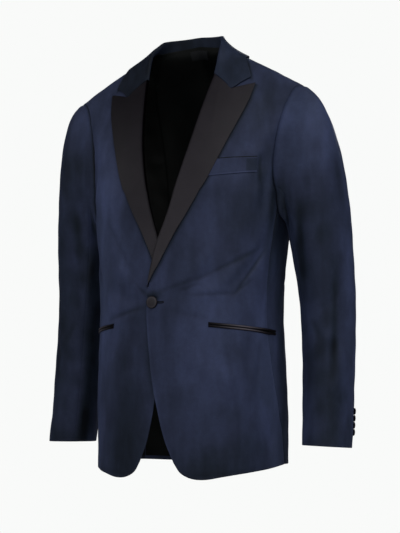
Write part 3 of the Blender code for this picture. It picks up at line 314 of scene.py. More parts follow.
# from angle and z, to angle and z, half width and height
SLEEVE_FOLDS = (
    (10, -0.150, 4, -0.330, 0.012, -0.0030),
    (60, -0.400, 44, -0.560, 0.014, -0.0032),
    (96, -0.330, 84, -0.500, 0.013, 0.0020),
    (-20, -0.480, 40, -0.440, 0.011, -0.0030),
    (-24, -0.530, 34, -0.505, 0.011, 0.0024),
    (150, -0.300, 168, -0.420, 0.014, -0.0030),
    (130, -0.470, 196, -0.505, 0.013, 0.0024),
    (20, -0.600, 60, -0.660, 0.013, -0.0020),
)
FINE_SLEEVE_FOLDS = (
    (-42, -0.215, -46, -0.330, 0.0050, -0.0014),
    (-30, -0.235, -36, -0.340, 0.0060, 0.0012),
    (-6, -0.255, -26, -0.430, 0.0085, -0.0018),
    (-44, -0.340, -38, -0.440, 0.0050, 0.0010),
    (44, -0.380, 32, -0.580, 0.0075, -0.0015),
    (56, -0.420, 52, -0.560, 0.0080, 0.0008),
    (-20, -0.470, 10, -0.520, 0.0070, -0.0009),
    (4, -0.500, 8, -0.600, 0.0120, -0.0009),
    (70, -0.180, 82, -0.300, 0.0080, -0.0007),
    (150, -0.260, 176, -0.330, 0.0060, -0.0014),
    (140, -0.440, 190, -0.470, 0.0050, -0.0012),
    (130, -0.540, 180, -0.580, 0.0060, -0.0010),
    (10, -0.610, 54, -0.640, 0.0060, 0.0008),
)

# ---- painted light and shade on the cloth ----
# painted light and shade in soft strokes: turn and level (or angle and z) of its middle, half its size
# across and along, and how much paler the painted light makes it, darker below 0 for painted shade
BODY_PAINTED_LIGHT = (
    (-38, 0.100, 0.034, 0.170, 0.52),
    (-24, -0.220, 0.030, 0.080, 0.30),
    (41, -0.380, 0.056, 0.070, 0.34),
    (22, -0.600, 0.050, 0.110, 0.20),
    (84, -0.700, 0.018, 0.190, 0.85),
    (80, -0.300, 0.012, 0.090, 0.18),
    (108, -0.300, 0.040, 0.260, -0.30),
    (112, -0.760, 0.040, 0.220, -0.30),
    (84, -0.060, 0.026, 0.090, -0.50),
    (-20, -0.760, 0.036, 0.090, -0.26),
    (-14, -0.440, 0.030, 0.016, -0.22),
    (-0.5, -0.362, 0.011, 0.007, -0.45),
    (66, -0.880, 0.040, 0.026, -0.30),
    (45, -0.770, 0.040, 0.020, -0.12),
    (44, -0.090, 0.040, 0.060, -0.12),
    (63, 0.080, 0.014, 0.070, -0.22),
    (-110, -0.300, 0.036, 0.260, -0.20),
    (150, 0.300, 0.060, 0.110, 0.22),
    (-152, 0.240, 0.060, 0.110, 0.22),
    (178, -0.320, 0.050, 0.120, -0.22),
    (142, -0.640, 0.050, 0.080, 0.24),
    (-146, -0.700, 0.050, 0.080, 0.24),
    (168, -0.860, 0.070, 0.050, -0.20),
    (-56, 0.220, 0.028, 0.300, 0.62),
    (-46, -0.300, 0.026, 0.190, 0.95),
    (-34, -0.240, 0.045, 0.180, 0.16),
    (-33, -0.610, 0.020, 0.080, 0.50),
    (-18, -0.530, 0.014, 0.050, 0.35),
    (-22, -0.940, 0.045, 0.065, -0.50),
    (36, -0.975, 0.080, 0.040, -0.42),
    (27, -0.780, 0.022, 0.070, -0.16),
    (73, -0.620, 0.026, 0.095, 0.85),
    (41, -0.555, 0.014, 0.040, 0.55),
    (13, -0.270, 0.022, 0.040, 0.25),
    (73, 0.010, 0.010, 0.090, -0.60),
    (47, 0.650, 0.028, 0.060, -0.28),
    (58, 0.060, 0.028, 0.060, -0.24),
    (42, 0.310, 0.014, 0.036, 0.25),
)
# on both sides, painted shadow beside the collar's edge and round the round of the fronts' hem, and a
# painted highlight beside the front's side seam below the pocket: from turn and level, to turn and level,
# half width and amount
PAINTED_LIGHT_LINES = (
    (24.0, 1.020, 30.0, 0.940, 0.0034, -0.55),
    (28.0, 0.970, 35.0, 0.840, 0.0034, -0.70),
    (10.0, -0.985, 90.0, -0.965, 0.0060, -0.14),
    (76.0, -0.520, 90.0, -0.860, 0.0040, 0.35),
)
SLEEVE_PAINTED_LIGHT = (
    (56, -0.125, 0.056, 0.070, 0.62),
    (26, -0.105, 0.030, 0.035, 0.35),
    (-8, -0.200, 0.020, 0.060, 0.45),
    (74, -0.360, 0.018, 0.110, 0.26),
    (20, -0.330, 0.026, 0.080, -0.18),
    (14, -0.560, 0.034, 0.130, -0.24),
    (-36, -0.400, 0.012, 0.060, -0.40),
    (-46, -0.250, 0.024, 0.070, -0.50),
    (70, -0.500, 0.012, 0.050, 0.35),
    (38, -0.630, 0.016, 0.060, -0.42),
    (-40, -0.640, 0.012, 0.060, 0.40),
    (6, -0.692, 0.050, 0.014, -0.24),
    (150, -0.200, 0.040, 0.060, 0.20),
    (176, -0.450, 0.030, 0.120, -0.24),
    (120, -0.560, 0.030, 0.060, 0.18),
)
RIGHT_SLEEVE_PAINTED_LIGHT = (
    (12, -0.120, 0.040, 0.045, 0.36),
    (22, -0.190, 0.034, 0.050, -0.44),
    (36, -0.500, 0.022, 0.200, -0.42),
    (-2, -0.430, 0.016, 0.050, -0.25),
    (-19, -0.376, 0.011, 0.040, 0.30),
    (-58, -0.540, 0.016, 0.180, -0.66),
    (-42, -0.385, 0.010, 0.040, -0.60),
    (-28, -0.640, 0.014, 0.050, 0.30),
    (-56, -0.670, 0.014, 0.040, -0.50),
    (12, -0.690, 0.050, 0.014, -0.30),
    (120, -0.360, 0.040, 0.120, -0.20),
    (150, -0.180, 0.040, 0.070, 0.20),
    (160, -0.600, 0.030, 0.070, 0.20),
)


# ---- curves and the form of the body ----
NEARLY_ZERO = 1e-12
NORMAL_TURN, NORMAL_LEVEL = 0.4, 0.005  # steps along the cloth that find its direction
NORMAL_LIMIT = 0.990  # the highest level where it is found so
SEAM_NORMAL_FROM = 0.955  # above this level it turns to the shoulder seam's
SIDE_TURN = 90  # one front lies over the other only within this turn of the front centre


def hermite(start, end, start_slope, end_slope, t):
    """A smooth curve from a start to an end, with the slopes that it has there."""
    ends = start * (1 + 2 * t) * (1 - t) ** 2 + end * t * t * (3 - 2 * t)
    return ends + start_slope * t * (1 - t) ** 2 + end_slope * t * t * (t - 1)


def bezier(start, pull_out, pull_in, end, t):
    """A smooth curve from a start to an end, drawn towards the two points between them."""
    pulled = 3 * pull_out * t * (1 - t) ** 2 + 3 * pull_in * t * t * (1 - t)
    return start * (1 - t) ** 3 + pulled + end * t**3


def table_at(table, key):
    """The other columns of a table at a key between its rows, on a smooth curve through them."""
    rows = np.array(table, float)
    keys, values = rows[:, 0], rows[:, 1:]
    slopes = np.gradient(values, keys, axis=0)
    key = np.clip(np.asarray(key, float), keys[0], keys[-1])
    i = np.clip(np.searchsorted(keys, key, side="right") - 1, 0, len(keys) - 2)
    step = (keys[i + 1] - keys[i])[..., None]
    t = (key - keys[i])[..., None] / step
    return hermite(values[i], values[i + 1], slopes[i] * step, slopes[i + 1] * step, t)


def turn_on(line, level):
    """The turn at which a line crosses a level, on straight steps between its rows."""
    turns, levels = zip(*sorted(line, key=lambda row: row[1]))
    return np.interp(level, levels, turns)


def smooth_step(low, high, value):
    """0 below low and 1 above high, with a smooth rise between them."""
    t = np.clip((np.asarray(value, float) - low) / (high - low), 0, 1)
    return t * t * (3 - 2 * t)


def hump(away, reach):
    """1 in the middle, falling softly to both sides."""
    return np.exp(-((away / reach) ** 2))


def signed_power(value, power):
    """The size of a value to a power, with the value's own sign."""
    return np.sign(value) * np.abs(value) ** power


def all_round(count):
    """Even angles round a full turn, in radians."""
    return np.linspace(0, 2 * math.pi, count, endpoint=False)


def shares(across, upward):
    """The shares of the way across and up at the points of a grid with so many steps."""
    u, v = np.meshgrid(np.linspace(0, 1, across + 1), np.linspace(0, 1, upward + 1))
    return u[..., None], v[..., None]


def shoulder_line(x):
    """Height and depth of the shoulder seam's line at a distance x from the middle."""
    share = (np.abs(x) - NECK_HALF) / (SHOULDER_HALF - NECK_HALF)
    drop = np.where(share > 0, share - SHOULDER_ROUND * share * (1 - share), NECK_LEVEL * share)
    return NECK_RISE - SHOULDER_DROP * drop, SEAM_Y - SEAM_FORWARD * share


def torso(turn, level):
    """A point of the jacket's outer form."""
    turn, level = np.broadcast_arrays(np.asarray(turn, float), np.asarray(level, float))
    above = np.clip(level, 0, 1)
    z = CHEST_Z + np.minimum(level, 0) * (CHEST_Z - HEM_Z)
    half_width, front, back = np.moveaxis(table_at(TORSO, z), -1, 0)
    angle = np.radians(turn)
    in_front = np.cos(angle) > 0
    square = np.where(in_front, SQUARE_FRONT, SQUARE_BACK)
    x = half_width * signed_power(np.sin(angle), 2 / square) * (1 + UPPER_SPREAD * above**2)
    y = -np.where(in_front, front, back) * signed_power(np.cos(angle), 2 / square)
    seam_z, seam_y = shoulder_line(x)
    roundness = np.where(in_front, ROUND_FRONT, ROUND_BACK)
    roundness = roundness + (ROUND_RIDGE - roundness) * above**RIDGE_POWER
    reach = (1 - above**roundness) ** (1 / roundness)
    y = np.where(level > 0, seam_y * (1 - reach) + y * reach, y)
    z = np.where(level > 0, CHEST_Z + above * (seam_z - CHEST_Z), z)
    return np.stack([x, y, z], -1)


def unit(vectors):
    """The same directions with the length 1."""
    return vectors / np.maximum(np.linalg.norm(vectors, axis=-1, keepdims=True), NEARLY_ZERO)


def torso_normal(turn, level):
    """The direction out of the cloth. On the shoulder seam it is square to the seam's own line."""
    turn, level = np.broadcast_arrays(np.asarray(turn, float), np.asarray(level, float))
    safe = np.minimum(level, NORMAL_LIMIT)
    along = torso(turn + NORMAL_TURN, safe) - torso(turn - NORMAL_TURN, safe)
    upward = torso(turn, safe + NORMAL_LEVEL) - torso(turn, safe - NORMAL_LEVEL)
    normal = unit(np.cross(along, upward))
    x = torso(turn, level)[..., 0]
    slope = SHOULDER_DROP / (SHOULDER_HALF - NECK_HALF)
    seam_normal = unit(np.stack([slope * np.sign(x), 0 * x, np.ones_like(x)], -1))
    share = smooth_step(SEAM_NORMAL_FROM, 1.0, level)[..., None]
    return unit(normal * (1 - share) + seam_normal * share)


def body_measure(turn, level):
    """Lengths along the cloth of the body, across it and up it, to a turn and a level."""
    return turn * TURN_LENGTH, np.where(np.less(level, 0), CHEST_Z - HEM_Z, UPPER_LENGTH) * level


def sleeve_measure(around, z):
    """The same on a sleeve, to an angle round it and a height."""
    return around * AROUND_LENGTH, z


def folds_at(table, across, along, measure):
    """How far the cloth stands out, from a table of ridges and troughs that fade at their ends.

    measure turns a place on the cloth into lengths along it.
    """
    here = measure(np.asarray(across, float), np.asarray(along, float))
    height = np.zeros(np.broadcast(*here).shape)
    for from_across, from_along, to_across, to_along, half_width, peak in table:
        start, end = measure(from_across, from_along), measure(to_across, to_along)
        run = np.subtract(end, start)
        length = math.hypot(*run)
        run = run / length
        a, b = here[0] - start[0], here[1] - start[1]
        share = (a * run[0] + b * run[1]) / length
        fade = smooth_step(*FOLD_START, share) * (1 - smooth_step(*FOLD_END, share))
        height = height + peak * fade * hump(a * run[1] - b * run[0], half_width)
    return height


def ripple(across, along):
    """The cloth's own slight unevenness at lengths across and along it."""
    waves = [np.sin(2 * math.pi * (across / a + along / b) + start) for a, b, start in RIPPLE_WAVES]
    return RIPPLE * sum(waves)


def stroked(table, across, along, measure):
    """How much painted light lies on the cloth, or painted shade below 0, from a table of soft strokes."""
    here = measure(np.asarray(across, float), np.asarray(along, float))
    amount = np.zeros(np.broadcast(*here).shape)
    for middle_across, middle_along, half_across, half_along, peak in table:
        middle = measure(middle_across, middle_along)
        beside, above = here[0] - middle[0], here[1] - middle[1]
        amount = amount + peak * hump(beside, half_across) * hump(above, half_along)
    return amount


def body_folds(turn, level):
    """The folds, faded out under the lapels."""
    height = folds_at(BODY_FOLDS + FINE_BODY_FOLDS, turn, level, body_measure)
    height = height + ripple(*body_measure(turn, level))
    beside_lapel = np.where(np.greater(level, ROLL[0][1]), turn_on(LAPEL_EDGE, level), -FOLD_FADE[1])
    return height * smooth_step(*FOLD_FADE, np.abs(turn) - beside_lapel)


def overlap(turn, level, side):
    """The left front lies over the right one, round the button and down to the hem."""
    starts, full, fades, hem = OVERLAP_LEVELS
    peak = WAIST_OVERLAP * smooth_step(starts, full, level)
    peak = peak + (HEM_OVERLAP - WAIST_OVERLAP) * smooth_step(fades, hem, level)
    return side * peak * (1 - smooth_step(*OVERLAP_TURNS, side * turn))


def cloth(places, side, offset):
    """Points of the cloth, so far out of its outer face. places are turns and levels on that side."""
    turn, level = np.moveaxis(np.asarray(places, float), -1, 0)
    signed = turn * side
    rise = offset + body_folds(signed, level)
    rise = rise + np.where(np.abs(turn) < SIDE_TURN, overlap(signed, level, side), 0)
    return torso(signed, level) + torso_normal(signed, level) * np.asarray(rise)[..., None]


def on_side(places, side, offset):
    """The cloth at places of one side and the direction out of it, both as if on the wearer's left."""
    mirror = np.array((side, 1, 1))
    places = np.asarray(places, float)
    normal = torso_normal(places[..., 0] * side, places[..., 1])
    return cloth(places, side, offset) * mirror, normal * mirror


# ---- grids ----
CUTAWAY_STEPS = 8  # along the front edge below the button, between the solids' points
ROLL_SPLIT = 4  # the roll's row where its points grow closer
ROLL_STEPS = (6, 8)  # along the roll below that row and above it
SEAM_STEPS = 15  # along the side seams
ARMHOLE_START = -54  # where the front's side seam meets the armhole
ARMHOLE_END = 216  # where the back's side seam meets it
SHOULDER_FRONT_STEPS = 8  # along the front's shoulder seam
SHOULDER_BACK_STEPS = 4
NECK_FRONT_STEPS = 4  # along the front's neckline
NECK_BACK_STEPS = 5


def along_line(table, steps):
    """Points in even steps along the smooth curve through a line's rows."""
    keyed = [(i, *row) for i, row in enumerate(table)]
    fine = table_at(keyed, np.linspace(0, len(table) - 1, LINE_STEPS * len(table)))
    pieces = np.linalg.norm(np.diff(torso(fine[:, 0], fine[:, 1]), axis=0), axis=1)
    length = np.concatenate([[0], np.cumsum(pieces)])
    where = np.linspace(0, length[-1], steps + 1)
    return np.stack([np.interp(where, length, fine[:, k]) for k in range(2)], -1)


def over_top(around):
    """Angles round the armhole, slowed where its line turns over the shoulder seam's ridge."""
    away = np.abs(np.asarray(around, float) - TOP_AROUND) / AROUND_STEP
    slowed = np.where(away < 1, away**2 * (2 - away), away)
    return TOP_AROUND + np.sign(around - TOP_AROUND) * AROUND_STEP * slowed


def armhole(first, last, table, fine):
    """Places on the armhole's line, from one angle round the sleeve to another."""
    steps = fine * abs(last - first) // AROUND_STEP
    return table_at(table, over_top(np.linspace(first, last, steps + 1)))


def joined(*lines):
    """Lines that share their end points, as one."""
    return np.concatenate([lines[0]] + [line[1:] for line in lines[1:]])


def moved_across(line, distance):
    """A line's places moved away from the front centre by a distance along the cloth."""
    moved = np.array(line, float)
    far, near = (torso(moved[:, 0] + step, moved[:, 1]) for step in (ACROSS_STEP, -ACROSS_STEP))
    moved[:, 0] += distance * 2 * ACROSS_STEP / np.linalg.norm(far - near, axis=1)
    return moved


def filled(bottom, top, left, right):
    """A grid that fills the space between four lines, with rows from the bottom to the top."""
    bottom, top = np.array(bottom, float), np.array(top, float)
    bottom[0], bottom[-1], top[0], top[-1] = left[0], right[0], left[-1], right[-1]
    u, v = shares(len(bottom) - 1, len(left) - 1)
    low = (1 - u) * (1 - v) * bottom[0] + u * (1 - v) * bottom[-1]
    high = (1 - u) * v * top[0] + u * v * top[-1]
    return (1 - v) * bottom + v * top + (1 - u) * left[:, None] + u * right[:, None] - (low + high)


def patch(*lines):
    """A filled grid whose inner points are evened out, so that none crosses a line at a flat corner."""
    grid = filled(*lines)
    for _ in range(EVENING_ROUNDS):
        beside = grid[1:-1, :-2] + grid[1:-1, 2:]
        above_below = grid[:-2, 1:-1] + grid[2:, 1:-1]
        grid[1:-1, 1:-1] = (beside + above_below) / 4
    return grid


def allow(grid, edges, amount=SEAM / 2):
    """A grid with half a seam's gap taken off the named edges, along its own rows and columns."""
    grid = grid.copy()
    ends = {
        "left": (np.s_[:, 0], np.s_[:, 1]), "right": (np.s_[:, -1], np.s_[:, -2]),
        "bottom": (np.s_[0], np.s_[1]), "top": (np.s_[-1], np.s_[-2]),
    }
    for edge in edges:
        outermost, next_in = ends[edge]
        grid[outermost] += unit(grid[next_in] - grid[outermost]) * amount
    return grid


def finer(grid, steps):
    """A grid with so many steps between its rows, on smooth curves through its points."""
    slopes = np.gradient(grid, axis=0)
    i = np.minimum(np.arange((len(grid) - 1) * steps + 1) // steps, len(grid) - 2)
    t = (np.arange(len(i)) / steps - i).reshape(-1, *[1] * (grid.ndim - 1))
    return hermite(grid[i], grid[i + 1], slopes[i], slopes[i + 1], t)


def fine_grid(grid, steps=FINE):
    """A grid with so many steps between its rows and between its columns."""
    return np.swapaxes(finer(np.swapaxes(finer(grid, steps), 0, 1), steps), 0, 1)


def fitted(grid, bottom, top, left, right):
    """A grid moved so that its four edges lie on four lines."""
    bottom, top = np.array(bottom, float), np.array(top, float)
    bottom[0], bottom[-1], top[0], top[-1] = left[0], right[0], left[-1], right[-1]
    return grid + filled(bottom - grid[0], top - grid[-1], left - grid[:, 0], right - grid[:, -1])


def between(grid, rows, columns):
    """Points of a grid at places between its rows and columns."""
    row = np.clip(np.floor(rows).astype(int), 0, grid.shape[0] - 2)
    column = np.clip(np.floor(columns).astype(int), 0, grid.shape[1] - 2)
    v, u = (rows - row)[:, None, None], (columns - column)[None, :, None]
    low, high = (grid[i][:, column] * (1 - u) + grid[i][:, column + 1] * u for i in (row, row + 1))
    return low * (1 - v) + high * v


def grid_normals(grid):
    """The direction square to a grid, on the side that its columns and rows turn to."""
    return unit(np.cross(np.gradient(grid, axis=1), np.gradient(grid, axis=0)))


def strip_places(corners, across, upward):
    """A grid between four corners: bottom left, bottom right, top right and top left."""
    a, b, c, d = (np.array(corner, float) for corner in corners)
    u, v = shares(across, upward)
    return (a * (1 - u) + b * u) * (1 - v) + (d * (1 - u) + c * u) * v


# ---- panels of the body, on their cutting lines ----
def hem_between(first, last, steps):
    """The hem's line between two turns that it has rows for."""
    return along_line([row for row in HEM if first <= row[0] <= last], steps)


def shoulder_between(first, last, steps):
    """The shoulder seam between two turns."""
    return np.linspace((first, 1.0), (last, 1.0), steps + 1)


def front_neckline(fine=1):
    """The front's edge from the top of the lapel to the neck point, set back as the lapel's is."""
    line = along_line(FRONT_NECK, NECK_FRONT_STEPS * fine)
    return moved_across(line, PANEL_SETBACK * np.linspace(1, 0, len(line)))


def front_lines(fine):
    """The front's hem, its top, its edge and its side, each with so many fine steps to a point."""
    chest, upper = (along_line(rows, steps * fine) for rows, steps in zip(
        (ROLL[: ROLL_SPLIT + 1], ROLL[ROLL_SPLIT:]), ROLL_STEPS
    ))
    roll_line = moved_across(joined(chest, upper), PANEL_SETBACK)
    cutaway = along_line(CUTAWAY, CUTAWAY_STEPS * fine)
    step_in = cutaway[-1] + (roll_line[0] - cutaway[-1]) * np.linspace(0, 1, fine + 1)[:, None]
    edge = joined(cutaway, step_in, roll_line)
    neck = front_neckline(fine)
    edge[-1] = neck[0]
    above = armhole(ARMHOLE_START, TOP_AROUND, ARMHOLE_FRONT, fine)
    side = joined(along_line(FRONT_SEAM, SEAM_STEPS * fine), above)
    shoulder = shoulder_between(FRONT_NECK[-1][0], side[-1][0], SHOULDER_FRONT_STEPS * fine)
    hem = hem_between(CUTAWAY[0][0], FRONT_SEAM[0][0], (NECK_FRONT_STEPS + SHOULDER_FRONT_STEPS) * fine)
    return hem, joined(neck, shoulder), edge, side


def side_lines(fine):
    """The side panel's hem, its underarm and its two seams."""
    front_part = armhole(ARMHOLE_START, ARMHOLE_FRONT[0][0], ARMHOLE_FRONT, fine)
    underarm = joined(front_part, armhole(ARMHOLE_BACK[-1][0], ARMHOLE_END, ARMHOLE_BACK, fine))
    hem = hem_between(FRONT_SEAM[0][0], BACK_SEAM[0][0], len(underarm) - 1)
    return hem, underarm, *(along_line(seam, SEAM_STEPS * fine) for seam in (FRONT_SEAM, BACK_SEAM))


def back_lines(fine):
    """The back's hem, its top, its side and its centre seam."""
    above = armhole(ARMHOLE_END, TOP_AROUND, ARMHOLE_BACK, fine)
    side = joined(along_line(BACK_SEAM, SEAM_STEPS * fine), above)
    shoulder = shoulder_between(side[-1][0], BACK_NECK[0][0], SHOULDER_BACK_STEPS * fine)
    neck = along_line(BACK_NECK, NECK_BACK_STEPS * fine)
    lower = np.linspace(HEM[-1][1], BACK_SEAM[-1][1], SEAM_STEPS * fine + 1)
    upper = np.linspace(BACK_SEAM[-1][1], BACK_NECK[-1][1], len(side) - len(lower) + 1)
    levels = joined(lower, upper)
    centre = np.stack([np.full_like(levels, HEM[-1][0]), levels], -1)
    hem = hem_between(BACK_SEAM[0][0], HEM[-1][0], (SHOULDER_BACK_STEPS + NECK_BACK_STEPS) * fine)
    return hem, joined(shoulder, neck), side, centre


def panel_places(lines):
    """A panel's places: the solid's own grid, smooth between its points, with its edges on its lines."""
    return fitted(fine_grid(patch(*lines(1)), PANEL_FINE), *lines(PANEL_FINE))


def lining_layers():
    """The back lining's two faces, behind the backs and some way up the collar's stand."""
    half = patch(*back_lines(1))[:, SHOULDER_BACK_STEPS:]
    layers = []
    for depth in (LINING_DEPTH, LINING_DEPTH + LINING_WALL):
        sides = []
        for side in (1, -1):
            base, upward, outward, _ = stand_frame(side)
            stand = (base + upward * LINING_RISE - outward * (depth - CLOTH / 2)) * (side, 1, 1)
            sides.append(np.concatenate([cloth(half, side, -depth), stand[NECK_BACK_STEPS::-1][None]]))
        layers.append(np.concatenate([sides[0], sides[1][:, -2::-1]], axis=1))
    return layers


# ---- form of the sleeves ----
def around_sleeve(step):
    """Angles all round the sleeve, from the underarm."""
    return np.arange(UNDERARM_AROUND, UNDERARM_AROUND + 360, step)


def turned_with_seam(start, share):
    """Angles that go with the back seam, by a share of its way from the armhole to the cuff."""
    return start + np.interp(start, *zip(*SEAM_SHIFT)) * share * (BACK_SEAM_CUFF - BACK_SEAM_AROUND)


def sleeve_place(around, z):
    """A point of the hanging sleeve on the wearer's left."""
    x, y, half_width, half_depth = np.moveaxis(table_at(sorted(SLEEVE), z), -1, 0)
    angle = np.radians(around)
    out = np.stack([np.sin(angle), -np.cos(angle), 0 * angle], -1)
    place = np.stack([x + half_width * np.sin(angle), y - half_depth * np.cos(angle), z + 0 * angle], -1)
    return place + out * folds_at(SLEEVE_FOLDS, around, z, sleeve_measure)[..., None]


def sleeve_start(start, side, lift=UNDERARM_LIFT, lap=0.0):
    """The sleeve's first ring on the armhole's line, at angles round it, and how far each leaves it."""
    front = table_at(ARMHOLE_FRONT, over_top(np.minimum(start, TOP_AROUND)))
    back = table_at(ARMHOLE_BACK, over_top(np.maximum(start, TOP_AROUND)))
    rim, normal = on_side(np.where(start[:, None] <= TOP_AROUND, front, back), side, 0)
    tangent = unit(np.roll(rim, -1, axis=0) - np.roll(rim, 1, axis=0))
    away = unit(np.cross(tangent, normal))
    heading = table_at(HEADING, start)
    lean = np.radians(heading[:, :1])
    direction = np.cos(lean) * away + np.sin(lean) * normal
    beside = smooth_step(*UNDERARM_LEANS, heading[:, :1])
    first = rim + (SEAM * (1 - beside / 2) - lap) * away + (lift * beside - lap / 2) * normal
    return first, direction * heading[:, 1:2]


def sleeve_grid(side):
    """The outer face of a whole sleeve, in rings from the armhole to the cuff."""
    coarse = sleeve_start(around_sleeve(AROUND_STEP), side)[1]
    for _ in range(HEAD_EVENING):
        coarse = coarse / 2 + (np.roll(coarse, 1, axis=0) + np.roll(coarse, -1, axis=0)) / 4
    wrapped = np.concatenate([coarse[-2:], coarse, coarse[:3]])
    leaving = finer(wrapped, FINE)[2 * FINE : -2 * FINE - 1]
    start = around_sleeve(AROUND_STEP / FINE)
    first = sleeve_start(start, side)[0]
    last, below = (
        sleeve_place(turned_with_seam(start, CAP_TURN_SHARE), np.full(len(start), z))
        for z in (SLEEVE_TOP_Z, SLEEVE_TOP_Z - HANG_STEP)
    )
    pull_in = last + unit(last - below) * table_at(HEADING, start)[:, 2:3]
    cap = np.linspace(0, 1, (CAP_RINGS - 1) * FINE + 1)[:-1] ** CAP_CROWDING
    rings = [bezier(first, first + leaving, pull_in, last, t) for t in cap]
    for t in np.linspace(0, 1, (ARM_RINGS - 1) * FINE + 1):
        around = turned_with_seam(start, CAP_TURN_SHARE + (1 - CAP_TURN_SHARE) * t)
        cuff = CUFF_Z - CUFF_SLOPE * np.cos(np.radians(around - CUFF_LONGEST_AROUND)) * t
        rings.append(sleeve_place(around, SLEEVE_TOP_Z + (cuff - SLEEVE_TOP_Z) * t))
    return np.array(rings)


def ring_normals(rings):
    """The direction out of a tube of closed rings."""
    across = np.roll(rings, -1, axis=1) - np.roll(rings, 1, axis=1)
    return unit(np.cross(np.gradient(rings, axis=0), across))


# ---- form of the lapels and the collar ----
CREST_ANGLES = (0, 45, 90, 135, 180)  # over the roll of the collar


def thickened(middle, thickness):
    """A wall's two faces, on both sides of its middle."""
    normal = grid_normals(middle)
    return middle + normal * thickness / 2, middle - normal * thickness / 2


def lapel_places():
    """The leaf of the lapel, from its roll to its outer edge and from the button to the gorge."""
    roll, edge = along_line(ROLL, LAPEL_ROWS), along_line(LAPEL_EDGE, LAPEL_ROWS)
    notch = LAPEL_LEAF // 2
    top = joined(along_line(GORGE, notch), np.linspace(GORGE[-1], PEAK, notch + 1))
    u, v = shares(LAPEL_LEAF, LAPEL_ROWS)
    straight = roll[:, None] * (1 - u) + edge[:, None] * u
    return straight + (top - straight[-1]) * v**LAPEL_TOP_POWER


def lapel_middle(side):
    """The middle of the lapel's wall: the facing behind the front, the fold, then the leaf."""
    places = lapel_places()
    roll, edge = places[:, 0], places[:, -1]
    up = np.linspace(0, 1, LAPEL_ROWS + 1)
    lift = LAPEL_FOOT_LIFT + (COLLAR_LIFT - LAPEL_FOOT_LIFT) * smooth_step(0, LAPEL_FOOT, up)
    outside, inside = lift + SATIN / 2, -(CLOTH + FACING_GAP + SATIN / 2)
    radius = (outside - inside)[:, None] / 2
    base, normal = on_side(roll, side, (outside + inside) / 2)
    inward = unit(np.cross(normal, unit(np.gradient(base, axis=0))))
    width = np.linalg.norm(torso(*edge.T) - torso(*roll.T), axis=1)[:, None]
    facing = np.minimum(FACING_WIDTH, FACING_SHARE * width)
    columns = []
    for facing_share in np.linspace(1, 0, FACING_STEPS + 1)[:-1]:
        share = (radius + (facing - radius) * facing_share) / width
        columns.append(on_side(roll * (1 - share) + edge * share, side, inside)[0])
    for angle in np.linspace(math.pi, 0, FOLD_STEPS + 1):
        reach = math.cos(angle) * normal + math.sin(angle) * inward
        columns.append(base - inward * radius + reach * radius)
    start = radius / width * LAPEL_LEAF
    rows, notch = np.arange(LAPEL_ROWS + 1), LAPEL_LEAF // 2
    for j in range(1, LAPEL_LEAF + 1):
        exact = start + (notch - start) * min(j / notch, 1) + max(j - notch, 0)
        low = np.clip(np.floor(exact).astype(int), 0, LAPEL_LEAF - 1)[:, 0]
        part = exact - low[:, None]
        place = places[rows, low] * (1 - part) + places[rows, low + 1] * part
        columns.append(on_side(place, side, outside)[0])
    return np.stack(columns, axis=1)


def stand_frame(side):
    """The foot of the collar's stand at each row, with the ways up it and out of it, and its height."""
    neck = joined(along_line(BACK_NECK, NECK_BACK_STEPS)[::-1], front_neckline()[::-1])
    base = on_side(neck, side, -CLOTH / 2)[0]
    run = unit(np.gradient(base, axis=0))
    run[0] = (1, 0, 0)
    crest = np.array(COLLAR_BACK + COLLAR_FRONT)[:, :3]
    crest[-1] = on_side(ROLL[-1], side, -CLOTH / 2)[0]
    stand = crest - base
    stand -= np.sum(stand * run, axis=1)[:, None] * run
    upward = unit(stand)
    return base, upward, np.cross(upward, run), np.linalg.norm(stand, axis=1)[:, None]


def collar_half(side):
    """The middle of one half of the collar's wall, from the centre back to the gorge."""
    base, upward, outward, height = stand_frame(side)
    follow = np.concatenate([np.zeros(len(COLLAR_BACK)), GORGE_SHARES])[:, None]
    lift = COLLAR_LIFT + CLOTH / 2
    radius = FOLD_RADIUS + ((COLLAR_LIFT + CLOTH) / 2 - FOLD_RADIUS) * follow
    height = height - radius
    foot = np.minimum(STAND_START, height * STAND_START_SHARE)
    columns = [base + upward * foot, base + upward * (foot + height) / 2]
    top = base + upward * height
    for angle in np.radians(CREST_ANGLES):
        columns.append(top + outward * radius * (1 - math.cos(angle)) + upward * radius * math.sin(angle))
    edge, edge_normal = on_side(np.array(COLLAR_BACK + COLLAR_FRONT)[:, 3:], side, lift)
    start = columns[-1]
    gap = start - edge
    gap = gap - np.sum(gap * edge_normal, axis=1)[:, None] * edge_normal
    distance = np.linalg.norm(gap, axis=1)[:, None]
    pull_out = start - upward * np.minimum(STAND_SPRING[0] * distance, STAND_SPRING[1])
    pull_in = edge + unit(gap) * FALL_REST * distance
    past_notch = np.linspace(GORGE[-1], COLLAR_POINT, 3)
    bend = on_side(joined(along_line(GORGE, FALL_STEPS - 2), past_notch), side, lift)[0]
    for j in range(1, FALL_STEPS + 1):
        fall = bezier(start, pull_out, pull_in, edge, j / FALL_STEPS)
        columns.append(fall * (1 - follow) + bend[j] * follow)
    return np.stack(columns, axis=1)


# ---- walls of cloth ----
EDGE_ROUNDS = 5  # steps round the edge of a wall
EDGE_BACK = 0.95  # how far a wall's faces end behind its edge, of half the wall
SEAM_SINK = 0.0007  # the cloth dips this deep into a seam
SEAM_REACH = 0.0032  # and this far from it
SEAM_LAP = 0.0002  # two sewn edges run this far into each other, so that no light comes through
ALL_EDGES = ("left", "right", "bottom", "top")
OUTER, INNER, FACING = 0, 1, 2  # places in a piece's list of finishes
THREAD_SIDES = 8
THREAD_GUIDE = (0.003, 0.002, 0.001)  # turns a thread's rings a little, so that none is undefined


